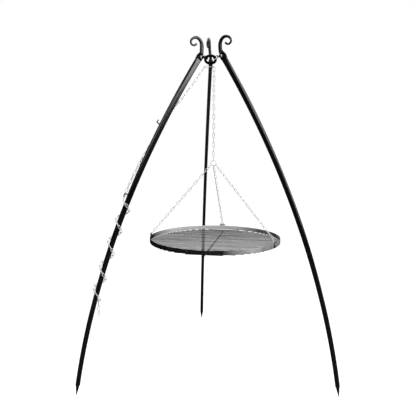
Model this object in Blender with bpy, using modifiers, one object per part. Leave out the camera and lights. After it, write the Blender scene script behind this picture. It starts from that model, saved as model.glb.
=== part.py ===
"""Campfire tripod with a round grate hung on chains.

Three curved legs hang on a ring at the crown. A chain runs through a small ring there, down to the grate,
and the other way to a leg, where it is wound round the leg. World axes: +Z up, the ground at z = 0, the
origin below the centre of the whole outline. Lengths are in metres.
"""

import math

import bmesh
import bpy
from mathutils import Matrix, Vector

MM = 0.001

# The gaps between pieces
GAP = 0.3 * MM
PIVOT_GAP = 0.5 * MM

# Legs: lean from upright at the top and at the foot, its bow between them, and the length on the centre line
LEG_LENGTH = 1.811
LEAN_TOP = 33.67
LEAN_FOOT = 8.70
LEAN_BOW = -0.244
LEG_WIDTH = 19.5 * MM
LEG_DEPTH_TOP = 31.0 * MM
LEG_DEPTH_FOOT = 20.5 * MM
LEG_CORNER = 6.0 * MM
LEG_WALL = 2.0 * MM
TUBE_SHORT_TOP = 11.0 * MM
# azimuth of each leg, the free room between its top and the centre ring, its own lean, the turn of its scroll
# and the stem's extra length
LEGS = {
    "left": (207.6, 12.145 * MM, 0.10, 0.0, 0.0),
    "right": (-31.0, 8.297 * MM, -0.49, 0.0, 0.0),
    "rear": (93.3, 9.740 * MM, 0.39, 11.0, 17.0 * MM),
}

# Ground spikes
SPIKE_LENGTH = 50.0 * MM
SPIKE_WIDTH = min(LEG_WIDTH, LEG_DEPTH_FOOT) - 1.4 * MM
SPIKE_TIP = 3.0 * MM
SPIKE_PLUG = 24.0 * MM
SPIKE_PLUG_WIDTH = min(LEG_WIDTH, LEG_DEPTH_FOOT) - 2 * LEG_WALL - 2.4 * MM

# The round wire of the crown's links and of the ring that the chain runs through
JOIN_WIRE = 2.5 * MM

# Crown of a leg: end plate, eye and scroll
CAP_THICK = 4.0 * MM
CAP_PROUD = 1.5 * MM
EYE_PLAY = 3.25 * MM
EYE_WALL = 4.75 * MM
EYE_HOLE = JOIN_WIRE + EYE_PLAY
EYE_RADIUS = EYE_HOLE + EYE_WALL
EYE_THICK = 8.0 * MM
EYE_RISE = CAP_THICK + 2 * GAP + EYE_RADIUS
EYE_INWARD = 7.6 * MM
SCROLL_BASE = 9.0 * MM
SCROLL_END = 5.2 * MM
# the scroll's centre line, outward and up from the eye
SCROLL_PATH = (
    (0, 0), (0, 25), (0, 40), (-0.5, 54), (1, 68), (6, 80), (15, 90), (27, 95.5), (40, 95), (51, 90),
    (59, 82), (62, 72), (59, 63), (51, 57.5), (42, 57), (34, 61), (30, 67),
)

# Centre ring, its links and the ring that the chain runs through
RING_RADIUS = 26.5 * MM
RING_WIRE = 6.5 * MM
RING_TILT = 40.0
RING_X = -6.0 * MM
# the ring's middle below the mean height of the legs' eyes
RING_DROP = 10.1 * MM
CROWN_LINK_ROOM = 8.0 * MM
# how far a tie link's wire lies from the middle of the eye, towards the ring
TIE_SEAT = 0.5 * MM
RUNNER_RADIUS = 16.5 * MM
# the runner ring's free room beside the rear leg's link, along the centre ring's wire
RUNNER_ROOM = 1.6 * MM

# Chain: half the wire's diagonal, width and pitch of its links; the wire has four sides and the cross-section
# of round wire
WIRE_CORNER = 1.85 * MM
LINK_WIDTH = 10.0 * MM
LINK_PITCH = 24.7 * MM
LINK_BITE = 2.0 * MM
LINK_CLEAR = 2 * WIRE_CORNER + GAP

# Where the chain hangs, and the ring that gathers the three lower chains
CHAIN_X = 13.5 * MM
LOWER_LINKS = 6
GATHER_RISE = 0.395
GATHER_RADIUS = 14.0 * MM
GATHER_WIRE = 2.0 * MM
GATHER_ANGLES = {"left": 213.0, "right": 327.0, "rear": 270.0}

# Grate
GRATE_X = 23.5 * MM
GRATE_Y = 0.0
GRATE_RADIUS = 0.350
RIM_TOP = 0.725
RIM_HEIGHT = 22.0 * MM
RIM_THICK = 3.0 * MM
ROD_WIRE = 1.5 * MM
ROD_PITCH = 21.0 * MM
BAR_WIRE = 4.0 * MM
GRID_TURN = 9.0

# Lugs on the rim, with the bent wire that each lower chain holds
LUG_AZIMUTHS = {"left": 172.0, "right": -31.0, "rear": 81.0}
LUG_WIDTH = 32.0 * MM
LUG_THICK = 3.0 * MM
LUG_ABOVE = 12.0 * MM
LUG_BELOW = 20.0 * MM
LUG_HOLE_APART = 22.0 * MM
LUG_HOLE_RISE = 6.5 * MM
BAIL_WIRE = 1.5 * MM
LUG_HOLE = BAIL_WIRE + 0.6 * MM
BAIL_RISE = 20.0 * MM
BAIL_LEAN = 14.0 * MM
BAIL_FLAT = 4.5 * MM

# Hooks welded on the left leg, and the chain's way down that leg; each drop is below the centre ring
HOOK_WIRE = 3.0 * MM
HOOK_REACH = 17.0 * MM
HOOK_UPPER_DROP = 0.3375
HOOK_LOWER_DROP = 0.6805
HOOK_TURN = 16.0 * MM
# straight links stand off the bend of the chain's turns by their length squared over this
WIND_BEND = 190.1 * MM
WIND_STANDOFF = LINK_WIDTH / 2 + WIRE_CORNER + (LINK_PITCH + LINK_BITE) ** 2 / WIND_BEND
WIND_SQUARE = 2.8
# drop, and the angle that the chain has gone round the leg
WIND_TABLE = (
    (0.6975, -38.0), (0.7145, 0.0), (0.7305, 90.0), (0.8305, 450.0), (0.9365, 810.0), (1.0605, 1170.0),
    (1.1605, 1530.0), (1.1905, 1630.0),
)
# the chain beside the leg: drop, its place outward of the leg's centre line, and off the tube's front, in mm
SPAN_TABLE = (
    (0.1825, -34.0, 1.0), (0.2525, -17.0, 7.5), (0.3525, -6.0, 7.8), (0.4525, 6.0, 7.8), (0.5325, 16.0, 7.5),
    (0.6125, 20.0, 6.5), (0.6775, 20.5, 5.5),
)
# where the span's first link starts, from the end wire of the links over the ring
SPAN_START = Vector((5.2, 0.8, -0.4)) * MM
TAIL_LINKS = 3

# Straight steps that a leg's curve is measured in
LEG_STEPS = 362

COLLECTION = bpy.data.collections.new("tripod_swing_grill")
CUTTERS = bpy.data.collections.new("cutters")


def clear_scene():
    """Empties the file and links the two collections."""
    for obj in list(bpy.data.objects):
        bpy.data.objects.remove(obj, do_unlink=True)
    bpy.context.scene.collection.children.link(COLLECTION)
    bpy.context.scene.collection.children.link(CUTTERS)


def material(name, colour, metallic, roughness):
    """One plain surface."""
    mat = bpy.data.materials.new(name)
    mat.use_nodes = True
    shader = mat.node_tree.nodes["Principled BSDF"]
    shader.inputs["Base Color"].default_value = (*colour, 1.0)
    shader.inputs["Metallic"].default_value = metallic
    shader.inputs["Roughness"].default_value = roughness
    return mat


def add_object(name, mesh):
    """Links a mesh as a new object."""
    obj = bpy.data.objects.new(name, mesh)
    COLLECTION.objects.link(obj)
    return obj


def face_outward(mesh, merge=0.00001):
    """Merges doubled points and turns every face out."""
    bm = bmesh.new()
    bm.from_mesh(mesh)
    bmesh.ops.remove_doubles(bm, verts=bm.verts, dist=merge)
    bmesh.ops.recalc_face_normals(bm, faces=bm.faces)
    bm.to_mesh(mesh)
    bm.free()


def tube(name, paths, radius, closed, rounding=1, scales=None):
    """Round wire along each path, as one mesh."""
    curve = bpy.data.curves.new(name, "CURVE")
    curve.dimensions = "3D"
    curve.bevel_depth = radius
    curve.bevel_resolution = rounding
    curve.use_fill_caps = not closed
    for path in paths:
        spline = curve.splines.new("POLY")
        spline.points.add(len(path) - 1)
        for i, point in enumerate(path):
            spline.points[i].co = (*point, 1.0)
            spline.points[i].radius = scales[i] if scales else 1.0
        spline.use_cyclic_u = closed
    carrier = add_object(name + "_line", curve)
    bpy.context.view_layer.update()
    graph = bpy.context.evaluated_depsgraph_get()
    mesh = bpy.data.meshes.new_from_object(carrier.evaluated_get(graph))
    bpy.data.objects.remove(carrier, do_unlink=True)
    bpy.data.curves.remove(curve)
    mesh.name = name
    face_outward(mesh)
    return add_object(name, mesh)


def drop_crumbs(mesh):
    """Removes loose specks of a few points that a Boolean can leave where two wires graze."""
    bm = bmesh.new()
    bm.from_mesh(mesh)
    left = set(bm.verts)
    specks = []
    while left:
        group, edge = set(), [left.pop()]
        while edge:
            vert = edge.pop()
            group.add(vert)
            near = [e.other_vert(vert) for e in vert.link_edges]
            edge += [v for v in near if v in left]
            left.difference_update(near)
        if len(group) < 8:
            specks += group
    bmesh.ops.delete(bm, geom=specks, context="VERTS")
    bm.to_mesh(mesh)
    bm.free()


def boolean(obj, other, operation):
    """Joins or cuts with an exact Boolean and keeps the result as the mesh."""
    mod = obj.modifiers.new("step", "BOOLEAN")
    mod.operation = operation
    mod.solver = "EXACT"
    mod.object = other
    bpy.context.view_layer.update()
    graph = bpy.context.evaluated_depsgraph_get()
    mesh = bpy.data.meshes.new_from_object(obj.evaluated_get(graph))
    obj.modifiers.clear()
    obj.data = mesh
    bpy.data.objects.remove(other, do_unlink=True)
    face_outward(mesh, 0.0000005)
    drop_crumbs(mesh)
    return obj


def keep_cutter(obj):
    """Moves a cutting body to the cutters' collection."""
    COLLECTION.objects.unlink(obj)
    CUTTERS.objects.link(obj)
    obj.hide_render = True
    obj.display_type = "WIRE"
    return obj


def circle(centre, first, second, radius, count):
    """Points of a circle in the plane of two unit directions."""
    turns = [2 * math.pi * i / count for i in range(count)]
    return [centre + (first * math.cos(a) + second * math.sin(a)) * radius for a in turns]


def oval(centre, along, across, length, width, count=3):
    """Points of a loop with straight sides and round ends, on the wire's centre line."""
    points = []
    half = width / 2
    straight = length / 2 - half
    for side in (1, -1):
        for i in range(count + 1):
            a = math.pi * (i / count - 0.5)
            out = straight + half * math.cos(a)
            points.append(centre + side * (along * out + across * (half * math.sin(a))))
    return points


def link_points(centre, along, across, length):
    """Eight points of one chain link."""
    half = LINK_WIDTH / 2
    end = length / 2
    shoulder = end - 0.62 * half
    shape = ((half, shoulder), (0.45 * half, end), (-0.45 * half, end), (-half, shoulder))
    points = [centre + across * a + along * b for a, b in shape]
    points += [centre - across * a - along * b for a, b in shape]
    return points


def chain(name, frames, length):
    """A strand of joined links, one per (centre, along, across); neighbours stand at right angles."""
    loops = [link_points(c, a, w, length) for c, a, w in frames]
    strand = tube(name, loops[0::2], WIRE_CORNER, True, 0)
    if len(loops) > 1:
        odd = tube(name + "_odd", loops[1::2], WIRE_CORNER, True, 0)
        strand = boolean(strand, odd, "UNION")
    return strand


def straight_frames(top, bottom, first_across, second_across, count):
    """Link frames and link length for a taut strand whose outer wires lie at the two points."""
    run = bottom - top
    along = run.normalized()
    pitch = (run.length - LINK_BITE) / count
    length = pitch + LINK_BITE
    frames = []
    for i in range(count):
        across = first_across if i % 2 == 0 else second_across
        across = (across - along * across.dot(along)).normalized()
        frames.append((top + along * (length / 2 + i * pitch), along, across))
    return frames, length


def links_between(name, anchor_a, wire_a, anchor_b, wire_b, first_across, count):
    """A taut strand whose end links hold the wires at the two anchors."""
    along = (anchor_b - anchor_a).normalized()
    second = along.cross(first_across).normalized()
    top = anchor_a - along * (wire_a + WIRE_CORNER + GAP)
    bottom = anchor_b + along * (wire_b + WIRE_CORNER + GAP)
    frames, length = straight_frames(top, bottom, first_across, second, count)
    return chain(name, frames, length)


def count_for(distance, parity):
    """The number of links, even (0) or odd (1), whose pitch comes nearest to the nominal one."""
    best = round(distance / LINK_PITCH)
    options = [n for n in (best - 1, best, best + 1) if n % 2 == parity]
    return min(options, key=lambda n: abs(distance / n - LINK_PITCH))


def rounded_section(width, depth, corner):
    """Twelve points of a rounded rectangle: depth along the first axis, width along the second."""
    points = []
    for cx, cy, start in ((1, 1, 0), (-1, 1, 90), (-1, -1, 180), (1, -1, 270)):
        for step in range(3):
            a = math.radians(start + 45 * step)
            x = cx * (depth / 2 - corner) + corner * math.cos(a)
            y = cy * (width / 2 - corner) + corner * math.sin(a)
            points.append((x, y))
    return points


def loft(name, rings, inner=None):
    """A body through rings of points; inner rings make it a pipe open at both ends."""
    bm = bmesh.new()
    outer = [[bm.verts.new(p) for p in ring] for ring in rings]
    inside = [[bm.verts.new(p) for p in ring] for ring in inner] if inner else None
    count = len(outer[0])
    for wall in (outer, inside) if inside else (outer,):
        for low, high in zip(wall, wall[1:]):
            for i in range(count):
                j = (i + 1) % count
                bm.faces.new((low[i], low[j], high[j], high[i]))
    for end in (0, -1):
        if inside:
            for i in range(count):
                j = (i + 1) % count
                bm.faces.new((outer[end][i], outer[end][j], inside[end][j], inside[end][i]))
        else:
            bm.faces.new(outer[end])
    mesh = bpy.data.meshes.new(name)
    bm.to_mesh(mesh)
    bm.free()
    face_outward(mesh)
    return add_object(name, mesh)


def lathe(name, profile, origin, along, steps):
    """Turns a profile of (radius, distance) about a line, from its far end to its near end."""
    mesh = bpy.data.meshes.new(name)
    mesh.from_pydata([(r, 0.0, h) for r, h in profile], [(i, i + 1) for i in range(len(profile) - 1)], [])
    obj = add_object(name, mesh)
    screw = obj.modifiers.new("turn", "SCREW")
    screw.axis = "Z"
    screw.angle = 2 * math.pi
    screw.steps = steps
    screw.render_steps = steps
    screw.use_merge_vertices = True
    screw.merge_threshold = 0.00001
    bpy.context.view_layer.update()
    graph = bpy.context.evaluated_depsgraph_get()
    solid = bpy.data.meshes.new_from_object(obj.evaluated_get(graph))
    obj.modifiers.clear()
    obj.data = solid
    solid.transform(along.to_track_quat("Z", "Y").to_matrix().to_4x4())
    solid.transform(Matrix.Translation(origin))
    face_outward(solid)
    return obj


def box(name, centre, axes, size):
    """A block with its sides along three unit directions."""
    bm = bmesh.new()
    bmesh.ops.create_cube(bm, size=1.0)
    turn = Matrix((axes[0] * size[0], axes[1] * size[1], axes[2] * size[2])).transposed().to_4x4()
    bmesh.ops.transform(bm, matrix=Matrix.Translation(centre) @ turn, verts=bm.verts)
    mesh = bpy.data.meshes.new(name)
    bm.to_mesh(mesh)
    bm.free()
    face_outward(mesh)
    return add_object(name, mesh)


def direction(azimuth):
    """The level unit direction at an azimuth in degrees."""
    return Vector((math.cos(math.radians(azimuth)), math.sin(math.radians(azimuth)), 0.0))


def lean_at(share, own):
    """The leg's lean in radians, at a share of its length from the top."""
    bent = share + LEAN_BOW * share * (1 - share)
    return math.radians(LEAN_TOP + (LEAN_FOOT - LEAN_TOP) * bent + own)


def foot_radius(name):
    """The distance of a leg's tip from the crown's axis."""
    _, room, own, _, _ = LEGS[name]
    step = LEG_LENGTH / LEG_STEPS
    top = RING_RADIUS + RING_WIRE + EYE_RADIUS + 5 * JOIN_WIRE + room
    return top + sum(step * math.sin(lean_at((i + 0.5) / LEG_STEPS, own)) for i in range(LEG_STEPS))


def feet_middle():
    """The middle of the feet's outline, from the crown's axis."""
    tips = [direction(values[0]) * foot_radius(name) for name, values in LEGS.items()]
    middle = [(max(t[k] for t in tips) + min(t[k] for t in tips)) / 2 for k in (0, 1)]
    return Vector((middle[0], middle[1], 0.0))


UP = Vector((0.0, 0.0, 1.0))
ALONG_X = Vector((1.0, 0.0, 0.0))
ALONG_Y = Vector((0.0, 1.0, 0.0))


CROWN = -feet_middle()


class Leg:
    """The centre line of one leg, and directions along it."""

    def __init__(self, name):
        azimuth, _, own, self.turn, self.extra = LEGS[name]
        self.name = name
        self.out = direction(azimuth)
        self.side = direction(azimuth + 90)
        self.line = []
        step = LEG_LENGTH / LEG_STEPS
        radius, height = foot_radius(name), 0.0
        for i in range(LEG_STEPS + 1):
            lean = lean_at(1 - i / LEG_STEPS, own)
            self.line.append((i * step, radius, height, lean))
            middle = lean_at(1 - (i + 0.5) / LEG_STEPS, own)
            radius -= step * math.sin(middle)
            height += step * math.cos(middle)
        end = self.at(LEG_LENGTH - TUBE_SHORT_TOP)
        self.eye = end[0] - end[2] * EYE_RISE - end[1] * EYE_INWARD

    def at(self, distance):
        """Centre, outward normal and downward direction at a distance from the tip."""
        step = self.line[1][0]
        i = min(int(distance / step), len(self.line) - 2)
        f = distance / step - i
        _, r, z, lean = (a + (b - a) * f for a, b in zip(self.line[i], self.line[i + 1]))
        centre = CROWN + self.out * r + UP * z
        normal = self.out * math.cos(lean) + UP * math.sin(lean)
        down = self.out * math.sin(lean) - UP * math.cos(lean)
        return centre, normal, down

    def distance_at(self, height):
        """The distance from the tip at a height."""
        for low, high in zip(self.line, self.line[1:]):
            if low[2] <= height <= high[2]:
                return low[0] + (high[0] - low[0]) * (height - low[2]) / (high[2] - low[2])
        return LEG_LENGTH

    def depth(self, height):
        """The tube's size from its inner to its outer side at a height."""
        return LEG_DEPTH_FOOT + (LEG_DEPTH_TOP - LEG_DEPTH_FOOT) * height / self.line[-1][2]

    def ring(self, distance, inset=0.0, along=0.0):
        """Points of the tube's section."""
        centre, normal, down = self.at(distance)
        centre = centre - down * along
        depth = self.depth(centre.z) - 2 * inset
        corner = LEG_CORNER - min(inset, LEG_WALL)
        section = rounded_section(LEG_WIDTH - 2 * inset, depth, corner)
        return [centre + normal * x + self.side * y for x, y in section]


RING_Z = sum(Leg(name).eye.z for name in LEGS) / len(LEGS) - RING_DROP


def tie_angle(leg):
    """The angle round the centre ring at which a leg's links hold it."""
    _, _, second = ring_point(0.0)
    reach = leg.eye - CROWN - Vector((RING_X, 0.0, RING_Z))
    return math.degrees(math.atan2(reach.dot(second), reach.x))


def leg_tube(leg):
    """The bent, tapering tube."""
    low, high, count = SPIKE_LENGTH, LEG_LENGTH - TUBE_SHORT_TOP, 15
    places = [low + (high - low) * i / (count - 1) for i in range(count)]
    outer = [leg.ring(s) for s in places]
    inner = [leg.ring(s, LEG_WALL) for s in places]
    return loft(f"leg_{leg.name}_tube", outer, inner)


def leg_spike(leg):
    """The point in the foot of the tube, with a flat end and a plug inside the tube."""
    tip, _, _ = leg.at(0.0)
    shoulder, _, _ = leg.at(SPIKE_LENGTH)
    along = (shoulder - tip).normalized()
    reach = (shoulder - tip).length - GAP
    profile = [
        (0.0, reach + SPIKE_PLUG), (SPIKE_PLUG_WIDTH / 2, reach + SPIKE_PLUG), (SPIKE_PLUG_WIDTH / 2, reach),
        (SPIKE_WIDTH / 2, reach), (SPIKE_WIDTH / 2, reach - 4 * MM), (SPIKE_TIP / 2, 0.0), (0.0, 0.0),
    ]
    return lathe(f"leg_{leg.name}_spike", profile, tip, along, 16)


def leg_cap(leg):
    """The plate that closes the top of the tube."""
    end = LEG_LENGTH - TUBE_SHORT_TOP
    rings = [leg.ring(end, -CAP_PROUD, GAP), leg.ring(end, -CAP_PROUD, GAP + CAP_THICK)]
    return loft(f"leg_{leg.name}_cap", rings)


def leg_eye(leg):
    """The round eye that the leg hangs by."""
    half = EYE_THICK / 2
    profile = [(EYE_HOLE, half), (EYE_RADIUS, half), (EYE_RADIUS, -half), (EYE_HOLE, -half), (EYE_HOLE, half)]
    return lathe(f"leg_{leg.name}_eye", profile, leg.eye, leg.side, 24)


def leg_scroll(leg):
    """The tapering rod above the eye that curls outward into a hook."""
    turn = Matrix.Rotation(math.radians(leg.turn), 3, "Z")
    out = turn @ leg.out
    path = []
    for i, (x, z) in enumerate(SCROLL_PATH):
        rise = z * MM + leg.extra if i > 0 else EYE_RADIUS + GAP
        path.append(leg.eye + out * (x * MM) + UP * rise)
    count = len(path) - 1
    slim = SCROLL_END / SCROLL_BASE - 1
    scales = [1 + slim * min(1.0, max(0, i - 3) / 5) for i in range(count + 1)]
    return tube(f"leg_{leg.name}_scroll", [path], SCROLL_BASE, False, 3, scales)


def leg_hook(leg, name, height, lift):
    """A bent rod welded on the outer side of the tube; lift 1 opens upward, -1 downward."""
    centre, normal, down = leg.at(leg.distance_at(height))
    start = centre + normal * (leg.depth(height) / 2 + GAP)
    up = -down * lift
    bend = HOOK_WIRE * 1.4
    shape = [(0, 0), (HOOK_REACH - bend, 0), (HOOK_REACH - 0.3 * bend, 0.3 * bend), (HOOK_REACH, bend)]
    shape += [(HOOK_REACH - 2 * MM, HOOK_TURN)]
    path = [start + normal * x + up * z for x, z in shape]
    return tube(name, [path], HOOK_WIRE, False, 2)


def ring_point(angle):
    """A point on the centre ring's wire, and the direction of the wire there."""
    tilt = math.radians(RING_TILT)
    second = ALONG_Y * math.cos(tilt) - UP * math.sin(tilt)
    a = math.radians(angle)
    centre = CROWN + Vector((RING_X, 0.0, RING_Z))
    point = centre + (ALONG_X * math.cos(a) + second * math.sin(a)) * RING_RADIUS
    return point, second * math.cos(a) - ALONG_X * math.sin(a), second


def centre_ring():
    """The ring at the crown, its front higher than its back."""
    _, _, second = ring_point(0.0)
    centre = CROWN + Vector((RING_X, 0.0, RING_Z))
    return tube("centre_ring", [circle(centre, ALONG_X, second, RING_RADIUS, 28)], RING_WIRE, True, 2)


def crown_links(leg):
    """Two small links that tie a leg's eye to the centre ring, one across the other."""
    point, wire, _ = ring_point(tie_angle(leg))
    along = (point - leg.eye).normalized()
    far = point + along * (RING_WIRE + JOIN_WIRE + PIVOT_GAP)
    side = (leg.side - along * leg.side.dot(along)).normalized()
    width = EYE_THICK + 2 * JOIN_WIRE + CROWN_LINK_ROOM
    length = EYE_RADIUS + 3 * JOIN_WIRE + 4 * PIVOT_GAP
    seat = leg.eye + along * TIE_SEAT
    outer = oval(seat + along * (length / 2), along, side, length, min(width, length), 6)
    start = seat + along * (length - 2 * JOIN_WIRE - PIVOT_GAP)
    across = along.cross(wire).normalized()
    width = 2 * (RING_WIRE + JOIN_WIRE + 2 * PIVOT_GAP)
    inner = oval((start + far) / 2, along, across, (far - start).length, width, 6)
    name = f"crown_link_{leg.name}"
    return [tube(name + "_outer", [outer], JOIN_WIRE, True), tube(name + "_inner", [inner], JOIN_WIRE, True)]


def runner_ring(foot):
    """The small ring that hangs on the centre ring's lowest part and carries the chain."""
    top = foot.z + RING_WIRE + JOIN_WIRE + GAP
    centre = Vector((foot.x, foot.y, top - RUNNER_RADIUS))
    points = circle(centre, ALONG_Y, UP, RUNNER_RADIUS, 20)
    return tube("chain_runner_ring", [points], JOIN_WIRE, True, 1), centre


def chain_over(runner):
    """The two links that lie in the runner ring; gives their end wires."""
    reach = RUNNER_RADIUS - JOIN_WIRE - WIRE_CORNER - GAP
    drop = math.sqrt(reach * reach - (LINK_WIDTH / 2) ** 2)
    length = LINK_PITCH + LINK_BITE
    right = Vector((CROWN.x + CHAIN_X, runner.y, runner.z - drop))
    left = right - ALONG_X * (2 * LINK_PITCH + LINK_BITE)
    frames, length = straight_frames(right, left, ALONG_Y, UP, 2)
    return chain("chain_over_ring", frames, length), right, left


def main_chain(hook):
    """The links from the crown to the gathering ring, in three pieces."""
    length = LINK_PITCH + LINK_BITE
    top = hook + UP * LINK_CLEAR
    low = top - UP * length
    frames, _ = straight_frames(top, low, ALONG_X, ALONG_Y, 1)
    first = chain("chain_top_link", frames, length)
    start = low + UP * LINK_CLEAR
    gather = Vector((hook.x, hook.y, RIM_TOP + GATHER_RISE))
    end_low = gather + UP * (GATHER_RADIUS - GATHER_WIRE - WIRE_CORNER - GAP)
    count = count_for(start.z - end_low.z - LOWER_LINKS * LINK_PITCH, 1)
    end = start - UP * (count * LINK_PITCH + LINK_BITE)
    frames, used = straight_frames(start, end, ALONG_Y, ALONG_X, count)
    upper = chain("chain_upper", frames, used)
    start_low = end + UP * LINK_CLEAR
    frames, used = straight_frames(start_low, end_low, ALONG_X, ALONG_Y, LOWER_LINKS)
    lower = chain("chain_lower", frames, used)
    return first, upper, lower, low, gather


def lug_frame(name):
    """The place of a lug on the rim: its foot on the outer face, outward and sideways."""
    out = direction(LUG_AZIMUTHS[name])
    side = direction(LUG_AZIMUTHS[name] + 90)
    foot = CROWN + Vector((GRATE_X, GRATE_Y, RIM_TOP)) + out * (GRATE_RADIUS + GAP)
    return foot, out, side


def rim_lug(name):
    """A small upright plate with two holes, on the outside of the rim."""
    foot, out, side = lug_frame(name)
    centre = foot + out * (LUG_THICK / 2) + UP * ((LUG_ABOVE - LUG_BELOW) / 2)
    plate = box(f"rim_lug_{name}", centre, (out, side, UP), (LUG_THICK, LUG_WIDTH, LUG_ABOVE + LUG_BELOW))
    for sign in (-1, 1):
        hole = foot + side * (sign * LUG_HOLE_APART / 2) + UP * LUG_HOLE_RISE
        profile = [(0.0, 4 * LUG_THICK), (LUG_HOLE, 4 * LUG_THICK), (LUG_HOLE, -4 * LUG_THICK)]
        profile += [(0.0, -4 * LUG_THICK)]
        cutter = keep_cutter(lathe("hole", profile, hole, out, 12))
        plate = boolean(plate, cutter, "DIFFERENCE")
    return plate


def rim_bail(name):
    """The bent wire through a lug's two holes; gives the place that a chain holds it by."""
    foot, out, side = lug_frame(name)
    shape = ((6, -1, 0), (-1, -1, 0), (-2.2, -1, 0.6))
    half = LUG_HOLE_APART / 2
    base = foot + UP * LUG_HOLE_RISE
    inside = -out * (BAIL_WIRE + GAP)
    path = []
    for x, s, z in shape:
        path.append(base + out * (x * MM) * (1 if x > 0 else 1.9) + side * (s * half) + UP * (z * MM))
    peak = base + inside - out * BAIL_LEAN + UP * BAIL_RISE
    path.append(peak - side * BAIL_FLAT)
    path.append(peak + side * BAIL_FLAT)
    for x, s, z in reversed(shape):
        path.append(base + out * (x * MM) * (1 if x > 0 else 1.9) - side * (s * half) + UP * (z * MM))
    return tube(f"rim_bail_{name}", [path], BAIL_WIRE, False, 1), peak, side


def lower_chain(name, gather, peak, side):
    """The chain from the gathering ring to one bent wire on the rim."""
    a = math.radians(GATHER_ANGLES[name])
    hold = gather + (ALONG_X * math.cos(a) + UP * math.sin(a)) * GATHER_RADIUS
    along = (peak - hold).normalized()
    wire = ALONG_X * -math.sin(a) + UP * math.cos(a)
    last = along.cross(side).normalized()
    plane_first = last if abs(last.dot(wire)) < abs(side.dot(wire)) else side
    parity = 1 if plane_first is last else 0
    span = (peak - hold).length + GATHER_WIRE + BAIL_WIRE + 2 * (WIRE_CORNER + GAP)
    count = count_for(span, parity)
    return links_between(f"lower_chain_{name}", hold, GATHER_WIRE, peak, BAIL_WIRE, plane_first, count)


def grate_rim():
    """The upright band round the grate."""
    centre = CROWN + Vector((GRATE_X, GRATE_Y, RIM_TOP - RIM_HEIGHT))
    inside = GRATE_RADIUS - RIM_THICK
    profile = [(inside, RIM_HEIGHT), (GRATE_RADIUS, RIM_HEIGHT), (GRATE_RADIUS, 0.0), (inside, 0.0)]
    profile += [(inside, RIM_HEIGHT)]
    return lathe("grate_rim", profile, centre, UP, 72)


def grate_grid():
    """The rods below the rim and the bar across them, as one welded body."""
    turn = math.radians(GRID_TURN)
    along = Vector((math.cos(turn), math.sin(turn), 0.0))
    across = Vector((-math.sin(turn), math.cos(turn), 0.0))
    level = RIM_TOP - RIM_HEIGHT - GAP - ROD_WIRE
    centre = CROWN + Vector((GRATE_X, GRATE_Y, level))
    reach = GRATE_RADIUS - ROD_WIRE
    rows = int(reach / ROD_PITCH)
    rods = []
    for k in range(-rows, rows + 1):
        offset = k * ROD_PITCH
        half = math.sqrt(reach * reach - offset * offset)
        if half > 4 * ROD_WIRE:
            rods.append([centre + across * offset - along * half, centre + across * offset + along * half])
    grid = tube("grate_grid", rods, ROD_WIRE, False, 1)
    low = centre - UP * (ROD_WIRE + BAR_WIRE - 0.8 * MM)
    bar = tube("bar", [[low - across * reach, low + across * reach]], BAR_WIRE, False, 2)
    return boolean(grid, bar, "UNION")


def place_on(path, lengths, distance):
    """The point and the outward direction at a distance along a path."""
    i = 0
    while i < len(path) - 2 and lengths[i + 1] < distance:
        i += 1
    f = (distance - lengths[i]) / (lengths[i + 1] - lengths[i])
    return path[i][0].lerp(path[i + 1][0], f), path[i][1].lerp(path[i + 1][1], f)


def frames_along(path, start, stop, first, last=None):
    """Link frames laid end to end between two distances along a path of (point, outward) pairs.

    first and last are 0 where that link stands out from the path's outward direction, 1 where it lies flat.
    """
    lengths = [0.0]
    for (a, _), (b, _) in zip(path, path[1:]):
        lengths.append(lengths[-1] + (b - a).length)
    stop = min(stop, lengths[-1])
    count = round((stop - start - LINK_BITE) / LINK_PITCH)
    if last is not None and (first + count - 1) % 2 != last:
        count += 1
    pitch = (stop - start - LINK_BITE) / count
    length = pitch + LINK_BITE
    frames = []
    for i in range(count):
        begin = start + i * pitch
        low, _ = place_on(path, lengths, begin)
        high, _ = place_on(path, lengths, begin + length)
        _, outward = place_on(path, lengths, begin + length / 2)
        along = (high - low).normalized()
        outward = (outward - along * outward.dot(along)).normalized()
        across = outward if (i + first) % 2 == 0 else along.cross(outward).normalized()
        frames.append(((low + high) / 2, along, across))
    return frames, length


def smooth_table(table, count):
    """Values between the rows of a table, evenly spaced and rounded at the corners."""
    rows = []
    last = len(table) - 1
    for n in range(count + 1):
        t = last * n / count
        i = min(int(t), last - 1)
        f = t - i
        p = [table[max(0, min(last, i + k))] for k in (-1, 0, 1, 2)]
        row = []
        for c in range(len(table[0])):
            a, b, d, e = (q[c] for q in p)
            row.append(b + 0.5 * f * (d - a + f * (2 * a - 5 * b + 4 * d - e + f * (3 * (b - d) + e - a))))
        rows.append(row)
    return rows


def span_path(leg, start):
    """The chain's way from the crown down behind the left leg to its lower hook."""
    path = [(start, leg.side)]
    for drop, outward, off in smooth_table(SPAN_TABLE, 24):
        centre, normal, _ = leg.at(leg.distance_at(RING_Z - drop))
        path.append((centre + normal * (outward * MM) - leg.side * (LEG_WIDTH / 2 + off * MM), leg.side))
    return path


def squared(value):
    """Bends a circle's cosine or sine towards a rounded square's."""
    return math.copysign(abs(value) ** (2 / WIND_SQUARE), value)


def wind_path(leg):
    """The chain's turns round the left leg."""
    path = []
    for (z0, a0), (z1, a1) in zip(WIND_TABLE, WIND_TABLE[1:]):
        steps = max(2, round((a1 - a0) / 9))
        for i in range(steps + (1 if z1 == WIND_TABLE[-1][0] else 0)):
            f = i / steps
            height, a = RING_Z - z0 - (z1 - z0) * f, math.radians(a0 + (a1 - a0) * f)
            centre, normal, _ = leg.at(leg.distance_at(height))
            x = (leg.depth(height) / 2 + WIND_STANDOFF) * squared(math.cos(a))
            y = (LEG_WIDTH / 2 + WIND_STANDOFF) * squared(math.sin(a))
            outward = (normal * math.cos(a) + leg.side * math.sin(a)).normalized()
            path.append((centre + normal * x + leg.side * y, outward))
    return path


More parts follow.
